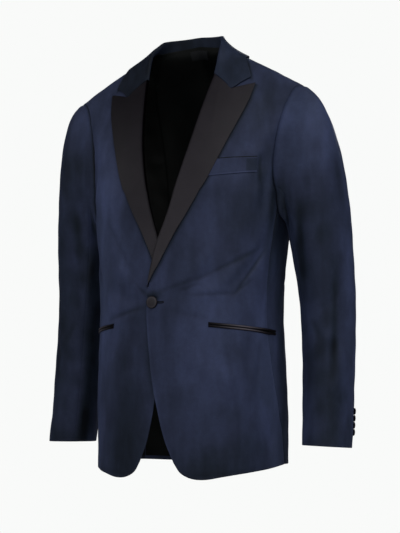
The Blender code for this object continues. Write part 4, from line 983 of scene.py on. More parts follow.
def spans(grid):
    """Lengths along the cloth to each point of a grid, across it and along it."""
    across = np.cumsum(np.linalg.norm(np.diff(grid, axis=1), axis=-1), axis=1)
    along = np.cumsum(np.linalg.norm(np.diff(grid, axis=0), axis=-1), axis=0)
    return np.pad(across, ((0, 0), (1, 0))), np.pad(along, ((1, 0), (0, 0)))


def edge_distance(grid, edges):
    """How far each point lies from the nearest of the named edges, along its row or column."""
    across, along = spans(grid)
    away = {"left": across, "right": across[:, -1:] - across, "bottom": along, "top": along[-1:] - along}
    return np.min([away[edge] for edge in edges], axis=0)


def sunk(faces, normals, edges, depth=SEAM_SINK, reach=SEAM_REACH):
    """Both faces of a wall, dipped where the named edges are sewn to a neighbour."""
    dip = depth * hump(edge_distance(faces[0], edges), reach)
    return [face - normals * dip[..., None] for face in faces]


def edge_loop(grid):
    """The outermost points of a grid, all the way round."""
    return np.concatenate([grid[0], grid[1:, -1], grid[-1, -2::-1], grid[-2:0:-1, 0]])


def shell(name, outer, inner, finishes, side=1, flat=None, inside=INNER, pile=0.0, painted_light_inside=None):
    """A closed wall of cloth between two faces, with a rounded edge all round.

    side is -1 where the columns run the other way, as they do on the wearer's right. flat gives each
    point's place on the flat cloth, in metres, for the weave. inside gives the finish of each point of
    the inner face. pile gives the painted light on each point, how much paler it is than the
    plain cloth, with painted shade below 0, and painted_light_inside gives that of the inner face, where it
    is another.
    """
    outer, inner = outer[:, ::side], inner[:, ::side]
    rows, columns = outer.shape[:2]
    flat = np.stack(spans(outer), -1) if flat is None else flat[:, ::side]
    painted_light_inside = pile if painted_light_inside is None else painted_light_inside
    inside, pile, painted_light_inside = (
        np.broadcast_to(grid, (rows, columns))[:, ::side] for grid in (inside, pile, painted_light_inside)
    )
    half = np.linalg.norm(outer - inner, axis=-1).min() / 2
    faces = [allow(face, ALL_EDGES, half * EDGE_BACK) for face in (outer, inner)]
    first, last = (edge_loop(face) for face in faces)
    reach = (edge_loop(outer) - first + edge_loop(inner) - last) / 2
    points, places = [face.reshape(-1, 3) for face in faces], [flat.reshape(-1, 2)] * 2
    painted_lights = [pile.reshape(-1), painted_light_inside.reshape(-1)]
    angles = np.linspace(0, math.pi, EDGE_ROUNDS + 1)[1:-1]
    for angle in angles:
        out = reach * math.sin(angle) / np.sin(angles).max()
        points.append((first + last + (first - last) * math.cos(angle)) / 2 + out)
        places.append(edge_loop(flat))
        painted_lights.append(edge_loop(pile))
    points, places, painted_lights = np.concatenate(points), np.concatenate(places), np.concatenate(painted_lights)

    index = np.arange(rows * columns).reshape(rows, columns)
    top = np.stack([index[:-1, :-1], index[:-1, 1:], index[1:, 1:], index[1:, :-1]], -1).reshape(-1, 4)
    under = top[:, ::-1] + rows * columns
    loop = edge_loop(index)
    rounds = [2 * rows * columns + k * len(loop) + np.arange(len(loop)) for k in range(EDGE_ROUNDS - 1)]
    rounds = [loop, *rounds, loop + rows * columns]
    rim = [np.stack([np.roll(a, -1), a, b, np.roll(b, -1)], -1) for a, b in zip(rounds, rounds[1:])]
    quads = np.concatenate([top, under, *rim])
    kinds = np.full(len(quads), OUTER)
    kinds[len(top) : 2 * len(top)] = inside[:-1, :-1].reshape(-1)
    return piece(name, mesh_of(name, points, quads, places, kinds, painted_lights), finishes)


def mesh_of(name, points, faces, places, kinds=None, painted_lights=None):
    """A smooth mesh, with the flat cloth's places as its UV map and its painted light and shade."""
    mesh = bpy.data.meshes.new(name)
    mesh.from_pydata(points.tolist(), [], [list(map(int, face)) for face in faces])
    mesh.update()
    corners = np.zeros(len(mesh.loops), np.int32)
    mesh.loops.foreach_get("vertex_index", corners)
    flat = np.asarray(places, np.float32)[corners]
    mesh.uv_layers.new(name="cloth").data.foreach_set("uv", flat.reshape(-1))
    if kinds is not None:
        mesh.polygons.foreach_set("material_index", kinds.astype(np.int32))
    if painted_lights is not None:
        mesh.attributes.new("pile", "FLOAT", "POINT").data.foreach_set("value", painted_lights.astype(np.float32))
    mesh.shade_smooth()
    return mesh


def piece(name, mesh, finishes):
    """An object of the jacket with its finishes, which rides on the jacket's one body."""
    made = bpy.data.objects.new(name, mesh)
    bpy.context.scene.collection.objects.link(made)
    for finish in finishes:
        mesh.materials.append(finish)
    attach(made, "root")
    return made


def stands_for(made, slot, *nodes):
    """The piece takes the place of its solids, which are hidden. slot is not used."""
    if nodes:
        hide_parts(*nodes)
    return made


def thread_loop(name, path, radius, beads, bead_length, finish):
    """A closed loop of thread, thicker and thinner in beads where it is worked in stitches."""
    run = unit(np.roll(path, -1, axis=0) - np.roll(path, 1, axis=0))
    guide = unit(np.cross(run, unit(np.mean(path, axis=0) - path + THREAD_GUIDE)))
    side = np.cross(run, guide)
    length = np.concatenate([[0], np.cumsum(np.linalg.norm(np.diff(path, axis=0), axis=1))])
    thick = radius * (1 + beads * np.cos(length * 2 * math.pi / bead_length))[:, None, None]
    ring = all_round(THREAD_SIDES)
    across = guide[:, None] * np.cos(ring)[:, None] + side[:, None] * np.sin(ring)[:, None]
    points = (path[:, None] + thick * across).reshape(-1, 3)
    index = np.arange(len(points)).reshape(-1, THREAD_SIDES)
    after = np.roll(index, -1, axis=0)
    quads = np.stack([index, np.roll(index, -1, axis=1), np.roll(after, -1, axis=1), after], -1)
    places = np.stack(np.broadcast_arrays(ring * radius, length[:, None]), -1).reshape(-1, 2)
    return piece(name, mesh_of(name, points, quads.reshape(-1, 4), places), [finish])


# ---- panels of the body ----
HEM_TURN_UP = 0.004  # of the velvet inside the hem, before the lining
FACING_DEPTH = 0.085  # of the satin facing inside the front edge
FACING_PAINTED_SHADE = -0.95  # painted shade: the satin turned away inside is nearly black
SIDE_PAINTED_SHADE = -0.45  # painted shade on the side panels, which face away from the light
LAPEL_PAINTED_SHADOW = (-0.6, 0.0042)  # painted shadow beside the lapel's edge: its tone, and how far out
# the same for a painted highlight on the left front's edge below the button, and a painted shadow on the
# right front beside it
EDGE_PAINTED_LIGHT = {1: (0.30, 0.0022), -1: (-0.30, 0.0060)}
EDGE_TONE_TOP = (-0.42, -0.36)  # it fades out between these levels, below the button


def front_painted_light(turn, level, side):
    """Painted shadow on a front beside the lapel, a painted highlight along the left front's edge below the
    button and a painted shadow beside it on the right front.
    """
    tone, reach = LAPEL_PAINTED_SHADOW
    beyond = (turn - turn_on(LAPEL_EDGE, level)) * TURN_LENGTH
    beside = (level > LAPEL_EDGE[0][1]) * (level < LAPEL_EDGE[-1][1])
    shadow = tone * hump(beyond, reach) * beside
    tone, reach = EDGE_PAINTED_LIGHT[side]
    beyond = (turn_on(CUTAWAY, level) - turn * side) * TURN_LENGTH
    return shadow + tone * hump(beyond, reach) * (1 - smooth_step(*EDGE_TONE_TOP, level))


def body_panel(name, side, lines, seams, finishes, facing=False, tone=0.0):
    """A front, a side panel or half of the back, dipped at its seams. Only a front has a facing."""
    places = panel_places(lines)
    turn, level = places[..., 0], places[..., 1]
    faces = [cloth(places, side, -depth) for depth in (0, CLOTH)]
    faces = sunk(faces, torso_normal(turn * side, level), seams)
    inside = np.full(turn.shape, INNER)
    # painted light and shade: soft strokes, painted shade in the creases, and on the fronts painted shadow
    # and highlight lines
    pile = tone + stroked(BODY_PAINTED_LIGHT, turn * side, level, body_measure)
    pile += CREASE_PAINTED_SHADE * np.minimum(folds_at(FINE_BODY_FOLDS, turn * side, level, body_measure), 0)
    if facing:
        inside[edge_distance(faces[0], ("left",)) < FACING_DEPTH] = FACING
        pile += folds_at(PAINTED_LIGHT_LINES, turn, level, body_measure) + front_painted_light(turn, level, side)
    inside[edge_distance(faces[0], ("bottom",)) < HEM_TURN_UP] = OUTER
    painted_light_inside = np.where(inside == FACING, FACING_PAINTED_SHADE, pile)
    faces = [allow(face, seams, -SEAM_LAP) for face in faces]
    flat = np.stack(body_measure(turn, level), -1)
    return shell(name, *faces, finishes, side, flat, inside, pile, painted_light_inside)


# ---- sleeves as they are sewn in ----
HEAD_LAP = 0.0014  # a sleeve runs this far into its armhole's edge
HEAD_SETTLE = 0.022  # down the sleeve, over which it comes in from its cut line to the armhole
HEAD_PAINTED_SHADOW = (-0.85, 0.0034)  # painted shadow along the armhole's seam: its tone and reach
HEAD_RIDGE = (0.0011, 0.0075, 0.0055)  # height, place and half width of the fuller sleeve head
HEAD_RIDGE_AROUND = (-40, 10, 140, 205)  # it fades in and out between these angles round the armhole
CREASES_FROM = (0.01, 0.05)  # down the sleeve, where its creases start and are full
SLEEVE_SEAM = (0.00012, 0.0025)  # its seams are pressed flat: depth and reach of the dip
CUFF_TURN_UP = 0.040
VENT = (0.0004, 0.014, 0.105)  # step, width and length of the cuff's closed vent
VENT_SIDE, VENT_TOP = (0.9, 1.1), (0.95, 1.02)  # its step fades out between these shares of them


def sleeve_faces(side):
    """A whole sleeve's two faces, its normals, the lengths down it and its painted light and shade, in rings.
    """
    outer = sleeve_grid(side)
    down = spans(outer)[1]
    start = around_sleeve(AROUND_STEP / FINE)
    settle = sleeve_start(start, side, 0.0, HEAD_LAP)[0] - outer[0]
    outer = outer + settle * (1 - smooth_step(0.0, HEAD_SETTLE, down))[..., None]
    normal = ring_normals(outer)
    low, full, fades, gone = HEAD_RIDGE_AROUND
    height, place, half_width = HEAD_RIDGE
    ridge = height * smooth_step(low, full, start) * (1 - smooth_step(fades, gone, start))
    ridge = ridge * hump(down - place, half_width)
    beside = smooth_step(*UNDERARM_LEANS, table_at(HEADING, start)[:, 0])
    dip = SEAM_SINK * (1 - beside) * hump(down, SEAM_REACH)
    cap = np.full((CAP_RINGS - 1) * FINE + 1, CAP_TURN_SHARE)
    arm = np.linspace(CAP_TURN_SHARE, 1, (ARM_RINGS - 1) * FINE + 1)
    around, z = turned_with_seam(start, joined(cap, arm)[:, None]), outer[..., 2]
    creases = folds_at(FINE_SLEEVE_FOLDS, around, z, sleeve_measure) + ripple(*sleeve_measure(around, z))
    creases = creases * smooth_step(*CREASES_FROM, down)
    # painted light and shade: soft strokes, painted shade in the creases and a painted shadow along the
    # armhole's seam
    strokes = SLEEVE_PAINTED_LIGHT if side > 0 else RIGHT_SLEEVE_PAINTED_LIGHT
    pile = stroked(strokes, around, z, sleeve_measure) + CREASE_PAINTED_SHADE * np.minimum(creases, 0)
    pile += HEAD_PAINTED_SHADOW[0] * hump(down, HEAD_PAINTED_SHADOW[1])
    outer = outer + normal * (ridge - dip + creases)[..., None]
    return outer, outer - normal * CLOTH, normal, down, pile


def build_sleeve(side, word, finishes):
    """The top and the under piece of a sleeve, parted along its front and its back seam."""
    outer, inner, normal, down, pile = sleeve_faces(side)
    count = outer.shape[1]
    seams = (FRONT_SEAM_AROUND, BACK_SEAM_AROUND)
    first, last = ((around - UNDERARM_AROUND) * FINE // AROUND_STEP for around in seams)
    made = []
    for part, columns in (("top", range(first, last + 1)), ("under", range(last, count + first + 1))):
        columns = [column % count for column in columns]
        out = normal[:, columns]
        faces = sunk([outer[:, columns], inner[:, columns]], out, ("left", "right"), *SLEEVE_SEAM)
        from_cuff = down[-1:, columns] - down[:, columns]
        if part == "top":
            step, width, length = VENT
            beside = edge_distance(faces[0], ("right",))
            rise = step * (1 - smooth_step(*np.multiply(VENT_SIDE, width), beside))
            rise = rise * (1 - smooth_step(*np.multiply(VENT_TOP, length), from_cuff))
            faces = [face + out * rise[..., None] for face in faces]
        faces = [(allow(face, ("left", "right"), -SEAM_LAP) * (side, 1, 1))[::-1] for face in faces]
        inside = np.where(from_cuff < CUFF_TURN_UP, OUTER, INNER)[::-1]
        name = f"{word}_{part}_sleeve"
        made.append(shell(name, *faces, finishes, side, inside=inside, pile=pile[::-1, columns]))
    return made


# ---- lapels and collar as they are sewn on ----
LAPEL_PAINTED_LIGHT = {1: (0.20, -0.24), -1: (0.14, -0.50)}  # painted light and shade on the satin: its tone at the button and at the gorge
LAPEL_TURNED = (0.72, 1.08)  # of the way to the end of its fold: the painted shade on the satin turned in reaches up to here
COLLAR_PAINTED_SHADE = (-0.36, -0.72)  # painted shade on the collar, on the wearer's left and right
COLLAR_MIDDLE = (0.35, 0.65)  # of its length, where the tone changes


def build_lapel(side, word, finishes):
    """A lapel of satin, with the part of it that is turned in behind the front."""
    middle = lapel_middle(side)
    layers = [allow(layer, ("top",), GORGE_ALLOWANCE) * (side, 1, 1) for layer in thickened(middle, SATIN)]
    up, across = (np.linspace(0, 1, count) for count in middle.shape[:2])
    fold = (FACING_STEPS + FOLD_STEPS) / (middle.shape[1] - 1)
    turned_in = 1 - smooth_step(*np.multiply(LAPEL_TURNED, fold), across)
    low, high = LAPEL_PAINTED_LIGHT[side]
    # painted shade on the satin turned in, and painted light and shade from the button up to the gorge
    pile = FACING_PAINTED_SHADE * turned_in + low + (high - low) * smooth_step(0, 1, up)[:, None]
    return shell(f"{word}_lapel", *layers, finishes, side, pile=pile)


def build_collar(finishes):
    """The collar, from one gorge seam round the neck to the other."""
    middle = fine_grid(np.concatenate([collar_half(1)[::-1], collar_half(-1)[1:] * (-1, 1, 1)]))
    layers = [allow(layer, ("bottom", "top"), GORGE_ALLOWANCE) for layer in thickened(middle, CLOTH)]
    # painted shade, deeper on the wearer's right
    left_tone, right_tone = COLLAR_PAINTED_SHADE
    along = smooth_step(*COLLAR_MIDDLE, np.linspace(0, 1, len(middle)))[:, None]
    return shell("collar_and_stand", *layers, finishes, pile=left_tone + (right_tone - left_tone) * along)


# ---- lining and label ----
LABEL_GRID = (24, 14)  # steps across and down
LABEL_DEPTHS = (LABEL_GAP + LINING_WALL * 0.2, LABEL_GAP + LINING_WALL)  # of its two faces off the lining


def fine_lining():
    """The back lining's two faces on a fine grid."""
    return [fine_grid(layer) for layer in lining_layers()]


def build_label(size, finishes):
    """A plain woven label, sewn on the lining below the neckline."""
    inner = fine_lining()[1]
    middle, top = inner.shape[1] // 2, len(inner) - 1 - FINE
    across = np.linalg.norm(inner[top, middle + 1] - inner[top, middle])
    along = np.linalg.norm(inner[top + 1, middle] - inner[top, middle])
    rows = top + np.linspace(-LABEL_BELOW, size[1] - LABEL_BELOW, LABEL_GRID[1] + 1) / along
    columns = middle + np.linspace(-0.5, 0.5, LABEL_GRID[0] + 1) * size[0] / across
    spots = between(inner, rows, columns)
    near, far = (spots - grid_normals(spots) * depth for depth in LABEL_DEPTHS)
    return shell("plain_neck_label", far, near, finishes, side=-1)


# ---- pockets ----
JET_FINE, MOUTH_FINE, WELT_FINE = (96, 8), (96, 3), (48, 20)  # steps across and up
JET_HALF_GAP = 0.00025
JET_CROWN = 0.0016  # height of a jet's rolled edge
JET_FALL = 0.86  # how far its crown falls towards its two sides
JET_FOOT = 0.05  # height of its inner face, of the crown
JET_SAG = (0.0014, 0.82, 0.16)  # the lower lip hangs open near its back end: depth, place and reach
JET_PAINTED_LIGHT = (-0.70, 4.2)  # painted shade over the satin, and its painted highlight
JET_HIGHLIGHT_PLACE = ((0.46, 0.22), (0.1, 0.5))  # the painted highlight's place and reach, along the jet and across it
MOUTH_HEIGHT = 0.0026  # of the lining that shows in a side pocket's mouth, and of the dark strip of painted shadow above the breast welt
MOUTH_DEPTHS = (0.0003, 0.00005)  # of its two faces off the front
WELT_LIFT = 0.0012  # its upper edge stands off the front
WELT_SEAM = (0.0005, 0.0024, 0.0010)  # depth, place and half width of its line of stitches
WELT_PAINTED_LIGHT = (-0.35, 0.3)  # darker tone on its barred end, and a painted highlight along its lower edge
WELT_BAR = ((0.74, 0.77), (0.08, 0.14), (0.88, 0.94))  # the bar starts across, starts up and ends up here
WELT_FOOT = (0.02, 0.12)  # of its height, where the painted highlight on its lower edge fades


def pocket_corners(low, high):
    """The corners of a strip of a side pocket, between two heights from the pocket's line."""
    span = CHEST_Z - HEM_Z
    (start, end), (start_level, end_level) = POCKET_TURNS, [(z - CHEST_Z) / span for z in POCKET_Z]
    lower = [(start, start_level + low / span), (end, end_level + low / span)]
    return lower + [(end, end_level + high / span), (start, start_level + high / span)]


def build_jet(name, side, low, high, finishes):
    """One satin lip of a jetted pocket, rolled over its own seam allowance."""
    places = strip_places(pocket_corners(low, high), *JET_FINE)
    along = np.linspace(0, 1, JET_FINE[0] + 1)
    share = np.linspace(-1, 1, JET_FINE[1] + 1)[:, None]
    if low < 0:
        depth, middle, reach = JET_SAG
        places[..., 1] -= depth * hump(along - middle, reach) / (CHEST_Z - HEM_Z)
    crown = LAID_GAP / 2 + JET_CROWN * np.sqrt(1 - share**2 * JET_FALL)
    over, under = (cloth(places, side, crown * part) for part in (1, JET_FOOT))
    # painted shade over the jet, with a painted highlight along its middle
    tone, glint = JET_PAINTED_LIGHT
    (middle, reach), (height, half_height) = JET_HIGHLIGHT_PLACE
    pile = tone + glint * hump(along - middle, reach) * hump(share - height, half_height)
    return shell(name, over, under, finishes, side, pile=pile)


def build_mouth(name, side, corners, finishes):
    """The lining just inside a pocket's mouth, where it shows between the jets; above the breast welt it is a
    dark strip laid on the front as painted shadow.
    """
    places = strip_places(corners, *MOUTH_FINE)
    return shell(name, *(cloth(places, side, depth) for depth in MOUTH_DEPTHS), finishes, side)


def build_welt(finishes):
    """The breast pocket's welt, stitched down at its ends and open along its top."""
    places = strip_places(WELT_CORNERS, *WELT_FINE)
    across, up = (share[..., 0] for share in shares(*WELT_FINE))
    over = cloth(places, 1, LAID_GAP + WELT_WALL + WELT_LIFT * up**2)
    depth, line, half_width = WELT_SEAM
    dip = depth * hump(edge_distance(over, ("left", "right", "bottom")) - line, half_width)
    over -= torso_normal(places[..., 0], places[..., 1]) * dip[..., None]
    # darker on the barred end, with a painted highlight along the lower edge
    from_side, from_foot, to_top = WELT_BAR
    barred = smooth_step(*from_side, across) * smooth_step(*from_foot, up) * (1 - smooth_step(*to_top, up))
    pile = WELT_PAINTED_LIGHT[0] * barred + WELT_PAINTED_LIGHT[1] * (1 - smooth_step(*WELT_FOOT, up))
    return shell("breast_pocket_welt", over, cloth(places, 1, LAID_GAP / 2), finishes, pile=pile)


# ---- buttons ----
BUTTON_SIDES = 72
DOME_STEPS, BACK_STEPS = 10, 4  # from a button's top to its widest line, and on to its back
GATHERS = 26  # small pleats where the satin is drawn under the button
GATHER_DEPTH = 0.00022
GATHER_FROM = (0.9, 1.5)  # they start and are full this far down the dome, in radians
BUTTON_BACK = (0.5, 0.0001, 0.5)  # they meet at its back: share of the radius, height, and how full
SHANK = (0.0022, 0.0011)  # radius and length of the thread behind a button
BUTTON_PAINTED_LIGHT = (  # painted light on the satin from the middle out: a painted highlight where it turns over the edge, and a painted shadow at its rim
    (0.0, 0.15), (0.60, 0.15), (0.78, 0.75), (0.88, 0.10), (0.97, -0.80),
)
RIM_SHARE = 0.99  # of the height of its widest line: all below that has the rim's painted shadow
CUFF_STEPS = (2.0, 0.01)  # round and along the sleeve, that find the way a cuff button faces
BUTTONHOLE = (0.0015, 0.0165, 0.0013)  # from and to, across from the button's middle, and half width
BUTTONHOLE_SQUARE, BUTTONHOLE_LIFT = 0.45, 0.0003  # its ends are nearly square, and it lies on the cloth
BUTTONHOLE_POINTS = 240
BUTTONHOLE_THREAD = (0.0007, 0.16, 0.0011)  # radius, depth of its stitches and length of one


def build_button(name, place, facing, radius, height, finishes):
    """A covered button: satin drawn over a dome and gathered at its back, on a thread shank."""
    profile = []
    for angle in np.linspace(0, math.pi / 2, DOME_STEPS + 1)[1:]:
        rise = BUTTON_RIM + (1 - BUTTON_RIM) * math.cos(angle)
        profile.append((radius * math.sin(angle), height * rise, smooth_step(*GATHER_FROM, angle)))
    for angle in np.linspace(0, math.pi / 2, BACK_STEPS + 1)[1:]:
        reach = BUTTON_FOOT + (1 - BUTTON_FOOT) * math.cos(angle)
        profile.append((radius * reach, height * BUTTON_RIM * (1 - math.sin(angle)), 1.0))
    shank_radius, shank_length = SHANK
    profile.append((radius * BUTTON_BACK[0], *BUTTON_BACK[1:]))
    profile += [(shank_radius, 0.0, 0.0), (shank_radius, -shank_length, 0.0)]
    profile = np.array(profile, float)
    turn = all_round(BUTTON_SIDES)
    gather = 1 - GATHER_DEPTH / radius * profile[:, 2:3] * (1 + np.cos(turn * GATHERS)) / 2
    r, z = profile[:, :1] * gather, profile[:, 1:2] + 0 * turn
    local = np.stack([r * np.cos(turn), r * np.sin(turn), z], -1).reshape(-1, 3)
    local = np.concatenate([local, [(0, 0, height), (0, 0, -shank_length)]])
    index = np.arange(len(profile) * BUTTON_SIDES).reshape(-1, BUTTON_SIDES)
    after = np.roll(index, -1, axis=1)
    faces = np.stack([index[:-1], index[1:], after[1:], after[:-1]], -1).reshape(-1, 4).tolist()
    faces += [[len(local) - 2, a, b] for a, b in zip(index[0], after[0])]
    faces += [[len(local) - 1, b, a] for a, b in zip(index[-1], after[-1])]
    turned = np.array(Vector(facing).to_track_quat("Z", "Y").to_matrix())
    # painted highlight where the satin turns over the edge, painted shadow at the rim and below it
    painted_tones = np.interp(np.hypot(local[:, 0], local[:, 1]) / radius, *zip(*BUTTON_PAINTED_LIGHT))
    painted_tones = np.where(local[:, 2] < height * BUTTON_RIM * RIM_SHARE, BUTTON_PAINTED_LIGHT[-1][1], painted_tones)
    mesh = mesh_of(name, local @ turned.T + place, faces, local[:, :2], painted_lights=painted_tones)
    return piece(name, mesh, finishes)


def cuff_button_place(side, number):
    """Where a cuff's button sits, on the sleeve's outer face, and the way that it faces."""
    around = np.array(float(CUFF_BUTTON_AROUND))
    z = np.array(CUFF_BUTTON_FIRST_Z + number * (2 * CUFF_BUTTON_RADIUS + CUFF_BUTTON_SPACE))
    turn, rise = CUFF_STEPS
    beside = sleeve_place(around + turn, z) - sleeve_place(around - turn, z)
    upward = sleeve_place(around, z + rise) - sleeve_place(around, z - rise)
    facing = unit(np.cross(beside, upward))
    return (sleeve_place(around, z) + facing * BUTTON_GAP) * (side, 1, 1), facing * (side, 1, 1)


def build_buttonhole(finish):
    """The worked end of the buttonhole, beside the button: a slit edged with close stitches."""
    start, end, half_width = BUTTONHOLE
    angle = all_round(BUTTONHOLE_POINTS)
    across = (start + end) / 2 + (end - start) / 2 * signed_power(np.cos(angle), BUTTONHOLE_SQUARE)
    up = half_width * signed_power(np.sin(angle), BUTTONHOLE_SQUARE)
    places = BUTTON_PLACE + np.stack([across / TURN_LENGTH, up / (CHEST_Z - HEM_Z)], -1)
    path = cloth(places, 1, BUTTONHOLE_LIFT)
    return thread_loop("front_buttonhole", path, *BUTTONHOLE_THREAD, finish)


# ---- finishes ----
VELVET_HEX = "#2B3248"
VELVET_LEAN_HEX = "#373F5C"
# the darker, greener colour that painted shade turns the velvet towards
VELVET_PAINTED_SHADE_HEX = "#283544"
SATIN_HEX = "#28242B"
LINING_HEX = "#070A0A"
TAPE_HEX = "#121417"
THREAD_HEX = "#0B0E18"
FLOOR_HEX = "#F4F5F4"


# Inputs are given by number where a node has several of one name. A map range has its value at 0, then from
# low, from high, to low and to high. A colour mix has its share at 0 and its colours at 6 and 7.
SMOOTH = {"interpolation_type": "SMOOTHSTEP"}
MIXED = {"output": 2, "data_type": "RGBA"}  # a mix of two colours
BANDS_PER_UNIT = 3.2  # about, of a wave texture whose scale is 1


def linear(colour):
    """An sRGB hex colour as linear red, green, blue and alpha."""
    parts = [int(colour[i : i + 2], 16) / 255 for i in (1, 3, 5)]
    return tuple(c / 12.92 if c <= 0.04045 else ((c + 0.055) / 1.055) ** 2.4 for c in parts) + (1.0,)


def times(colour, factor):
    """A colour paler or darker by a factor."""
    return tuple(c * factor for c in colour[:3]) + (1.0,)


def node(tree, kind, links=None, output=0, **settings):
    """Adds a node with its settings and gives one of its outputs. links gives its inputs' values, or
    the outputs that feed them."""
    made = tree.nodes.new(kind)
    for key, value in settings.items():
        setattr(made, key, value)
    for key, value in (links or {}).items():
        if isinstance(value, bpy.types.NodeSocket):
            tree.links.new(value, made.inputs[key])
        else:
            made.inputs[key].default_value = value
    return made.outputs[output] if made.outputs else made


def cotton_velvet(tree, colour, lean_colour, painted_shade_colour):
    """Cotton velvet, woven with a short cut pile. The pile swallows the light that falls straight on
    it, so the cloth is deep and even, and paler in soft drifts where hands have leaned it over. Painted
    light and shade are laid over it from each point's pile attribute."""
    place = node(tree, "ShaderNodeTexCoord", output="Object")
    # drifts some 6 cm wide, where the pile leans one way or the other
    tall = node(tree, "ShaderNodeMapping", {"Vector": place, "Scale": (1.0, 1.0, 0.55)})
    lean = node(tree, "ShaderNodeTexNoise", {"Vector": tall, "Scale": 1 / 0.060, "Detail": 2.0})
    share = node(tree, "ShaderNodeMapRange", {0: lean, 1: 0.36, 2: 0.68}, **SMOOTH)
    drift = node(tree, "ShaderNodeMix", {0: share, 6: colour, 7: lean_colour}, **MIXED)
    # long brush marks, some 15 mm wide, run down the cloth as its nap does
    brushed = node(tree, "ShaderNodeMapping", {"Vector": place, "Scale": (1.0, 1.0, 0.28)})
    marks = node(tree, "ShaderNodeTexNoise", {"Vector": brushed, "Scale": 1 / 0.015, "Detail": 3.0})
    mark = node(tree, "ShaderNodeMapRange", {0: marks, 1: 0.3, 2: 0.72, 3: 0.91, 4: 1.10}, **SMOOTH)
    # painted light and shade, read from each point's pile attribute: paler above 0, darker below
    painted_tone = node(tree, "ShaderNodeAttribute", output="Fac", attribute_name="pile")
    # where the pile opens, the darker and greener ground shows between the tufts
    # painted shade: where the painted light is below 0, the colour turns towards a darker, greener shade
    # colour
    painted_shade_share = node(tree, "ShaderNodeMapRange", {0: painted_tone, 1: 0.0, 2: -0.6, 3: 0.0, 4: 0.7})
    painted_shade_tinted = node(tree, "ShaderNodeMix", {0: painted_shade_share, 6: drift, 7: painted_shade_colour}, **MIXED)
    toned = node(tree, "ShaderNodeMath", {0: painted_tone, 1: mark}, operation="ADD")
    safe = node(tree, "ShaderNodeMath", {0: toned, 1: 0.12}, operation="MAXIMUM")
    # small crushed places, 9 mm wide
    crush = node(tree, "ShaderNodeTexNoise", {"Vector": place, "Scale": 1 / 0.009, "Detail": 3.0})
    fleck = node(tree, "ShaderNodeMapRange", {0: crush, 1: 0.3, 2: 0.8, 3: 0.94, 4: 1.06}, **SMOOTH)
    # a real tuft is some 0.2 mm thick; it is drawn at 0.9 mm so that it shows
    tufts = node(tree, "ShaderNodeTexNoise", {"Vector": place, "Scale": 1 / 0.0009, "Detail": 1.0})
    grain = node(tree, "ShaderNodeMapRange", {0: tufts, 1: 0.25, 2: 0.75, 3: 0.90, 4: 1.08}, **SMOOTH)
    even = node(tree, "ShaderNodeMath", {0: fleck, 1: grain}, operation="MULTIPLY")
    shade = node(tree, "ShaderNodeMath", {0: even, 1: safe}, operation="MULTIPLY")
    tinted = node(tree, "ShaderNodeVectorMath", {0: painted_shade_tinted, "Scale": shade}, operation="SCALE")
    # leaned pile lies flatter and shines a little more
    rough = node(tree, "ShaderNodeMapRange", {0: lean, 1: 0.3, 2: 0.7, 3: 0.70, 4: 0.58}, **SMOOTH)
    nap = node(tree, "ShaderNodeBump", {"Height": tufts, "Distance": 0.00022, "Strength": 0.6})
    lie = node(tree, "ShaderNodeBump", {"Height": crush, "Distance": 0.0005, "Strength": 0.5, "Normal": nap})
    return node(tree, "ShaderNodeBsdfPrincipled", {
        "Base Color": tinted, "Roughness": rough, "IOR": 1.46, "Specular IOR Level": 0.18,
        "Sheen Weight": 0.15, "Sheen Roughness": 0.45, "Sheen Tint": linear("#8294CE"), "Normal": lie,
    })


def silk_satin(tree, colour):
    """Silk satin: long floats of fine yarn along the cloth, so its shine is broad and runs across them,
    dark to the eye and softly bright on a roll or an edge."""
    flat = node(tree, "ShaderNodeUVMap", uv_map="cloth")
    # floats are 0.1 mm apart; they are drawn 0.7 mm apart and some 5 mm long
    floats = node(tree, "ShaderNodeMapping", {"Vector": flat, "Scale": (1 / 0.0007, 1 / 0.005, 1.0)})
    weave = node(tree, "ShaderNodeTexNoise", {"Vector": floats, "Scale": 1.0, "Detail": 2.0})
    run = node(tree, "ShaderNodeMapRange", {0: weave, 1: 0.3, 2: 0.7, 3: 0.86, 4: 1.10}, **SMOOTH)
    # the cloth gives in soft swells, 35 mm wide
    place = node(tree, "ShaderNodeTexCoord", output="Object")
    swell = node(tree, "ShaderNodeTexNoise", {"Vector": place, "Scale": 1 / 0.035, "Detail": 2.0})
    give = node(tree, "ShaderNodeMapRange", {0: swell, 1: 0.3, 2: 0.7, 3: 0.90, 4: 1.10}, **SMOOTH)
    shade = node(tree, "ShaderNodeMath", {0: run, 1: give}, operation="MULTIPLY")
    # painted shade makes it nearly black where it turns in, and a painted highlight makes it glint where it
    # is drawn over an edge; its shine follows the same painted tone
    tone = node(tree, "ShaderNodeAttribute", output="Fac", attribute_name="pile")
    toned = node(tree, "ShaderNodeMath", {0: shade, 1: tone, 2: shade}, operation="MULTIPLY_ADD")
    safe = node(tree, "ShaderNodeMath", {0: toned, 1: 0.03}, operation="MAXIMUM")
    tinted = node(tree, "ShaderNodeVectorMath", {0: colour[:3], "Scale": safe}, operation="SCALE")
    shine = node(tree, "ShaderNodeMapRange", {0: tone, 1: -0.8, 2: 0.6, 3: 0.0, 4: 0.5})
    rough = node(tree, "ShaderNodeMapRange", {0: weave, 1: 0.3, 2: 0.7, 3: 0.46, 4: 0.56})
    rib = node(tree, "ShaderNodeBump", {"Height": weave, "Distance": 0.00012, "Strength": 0.5})
    lie = node(tree, "ShaderNodeBump", {"Height": swell, "Distance": 0.0012, "Strength": 0.35, "Normal": rib})
    along = node(tree, "ShaderNodeTangent", direction_type="UV_MAP", uv_map="cloth")
    return node(tree, "ShaderNodeBsdfPrincipled", {
        "Base Color": tinted, "Roughness": rough, "IOR": 1.54, "Specular IOR Level": shine,
        "Anisotropic": 0.4, "Tangent": along, "Sheen Weight": 0.02, "Sheen Roughness": 0.3, "Normal": lie,
    })


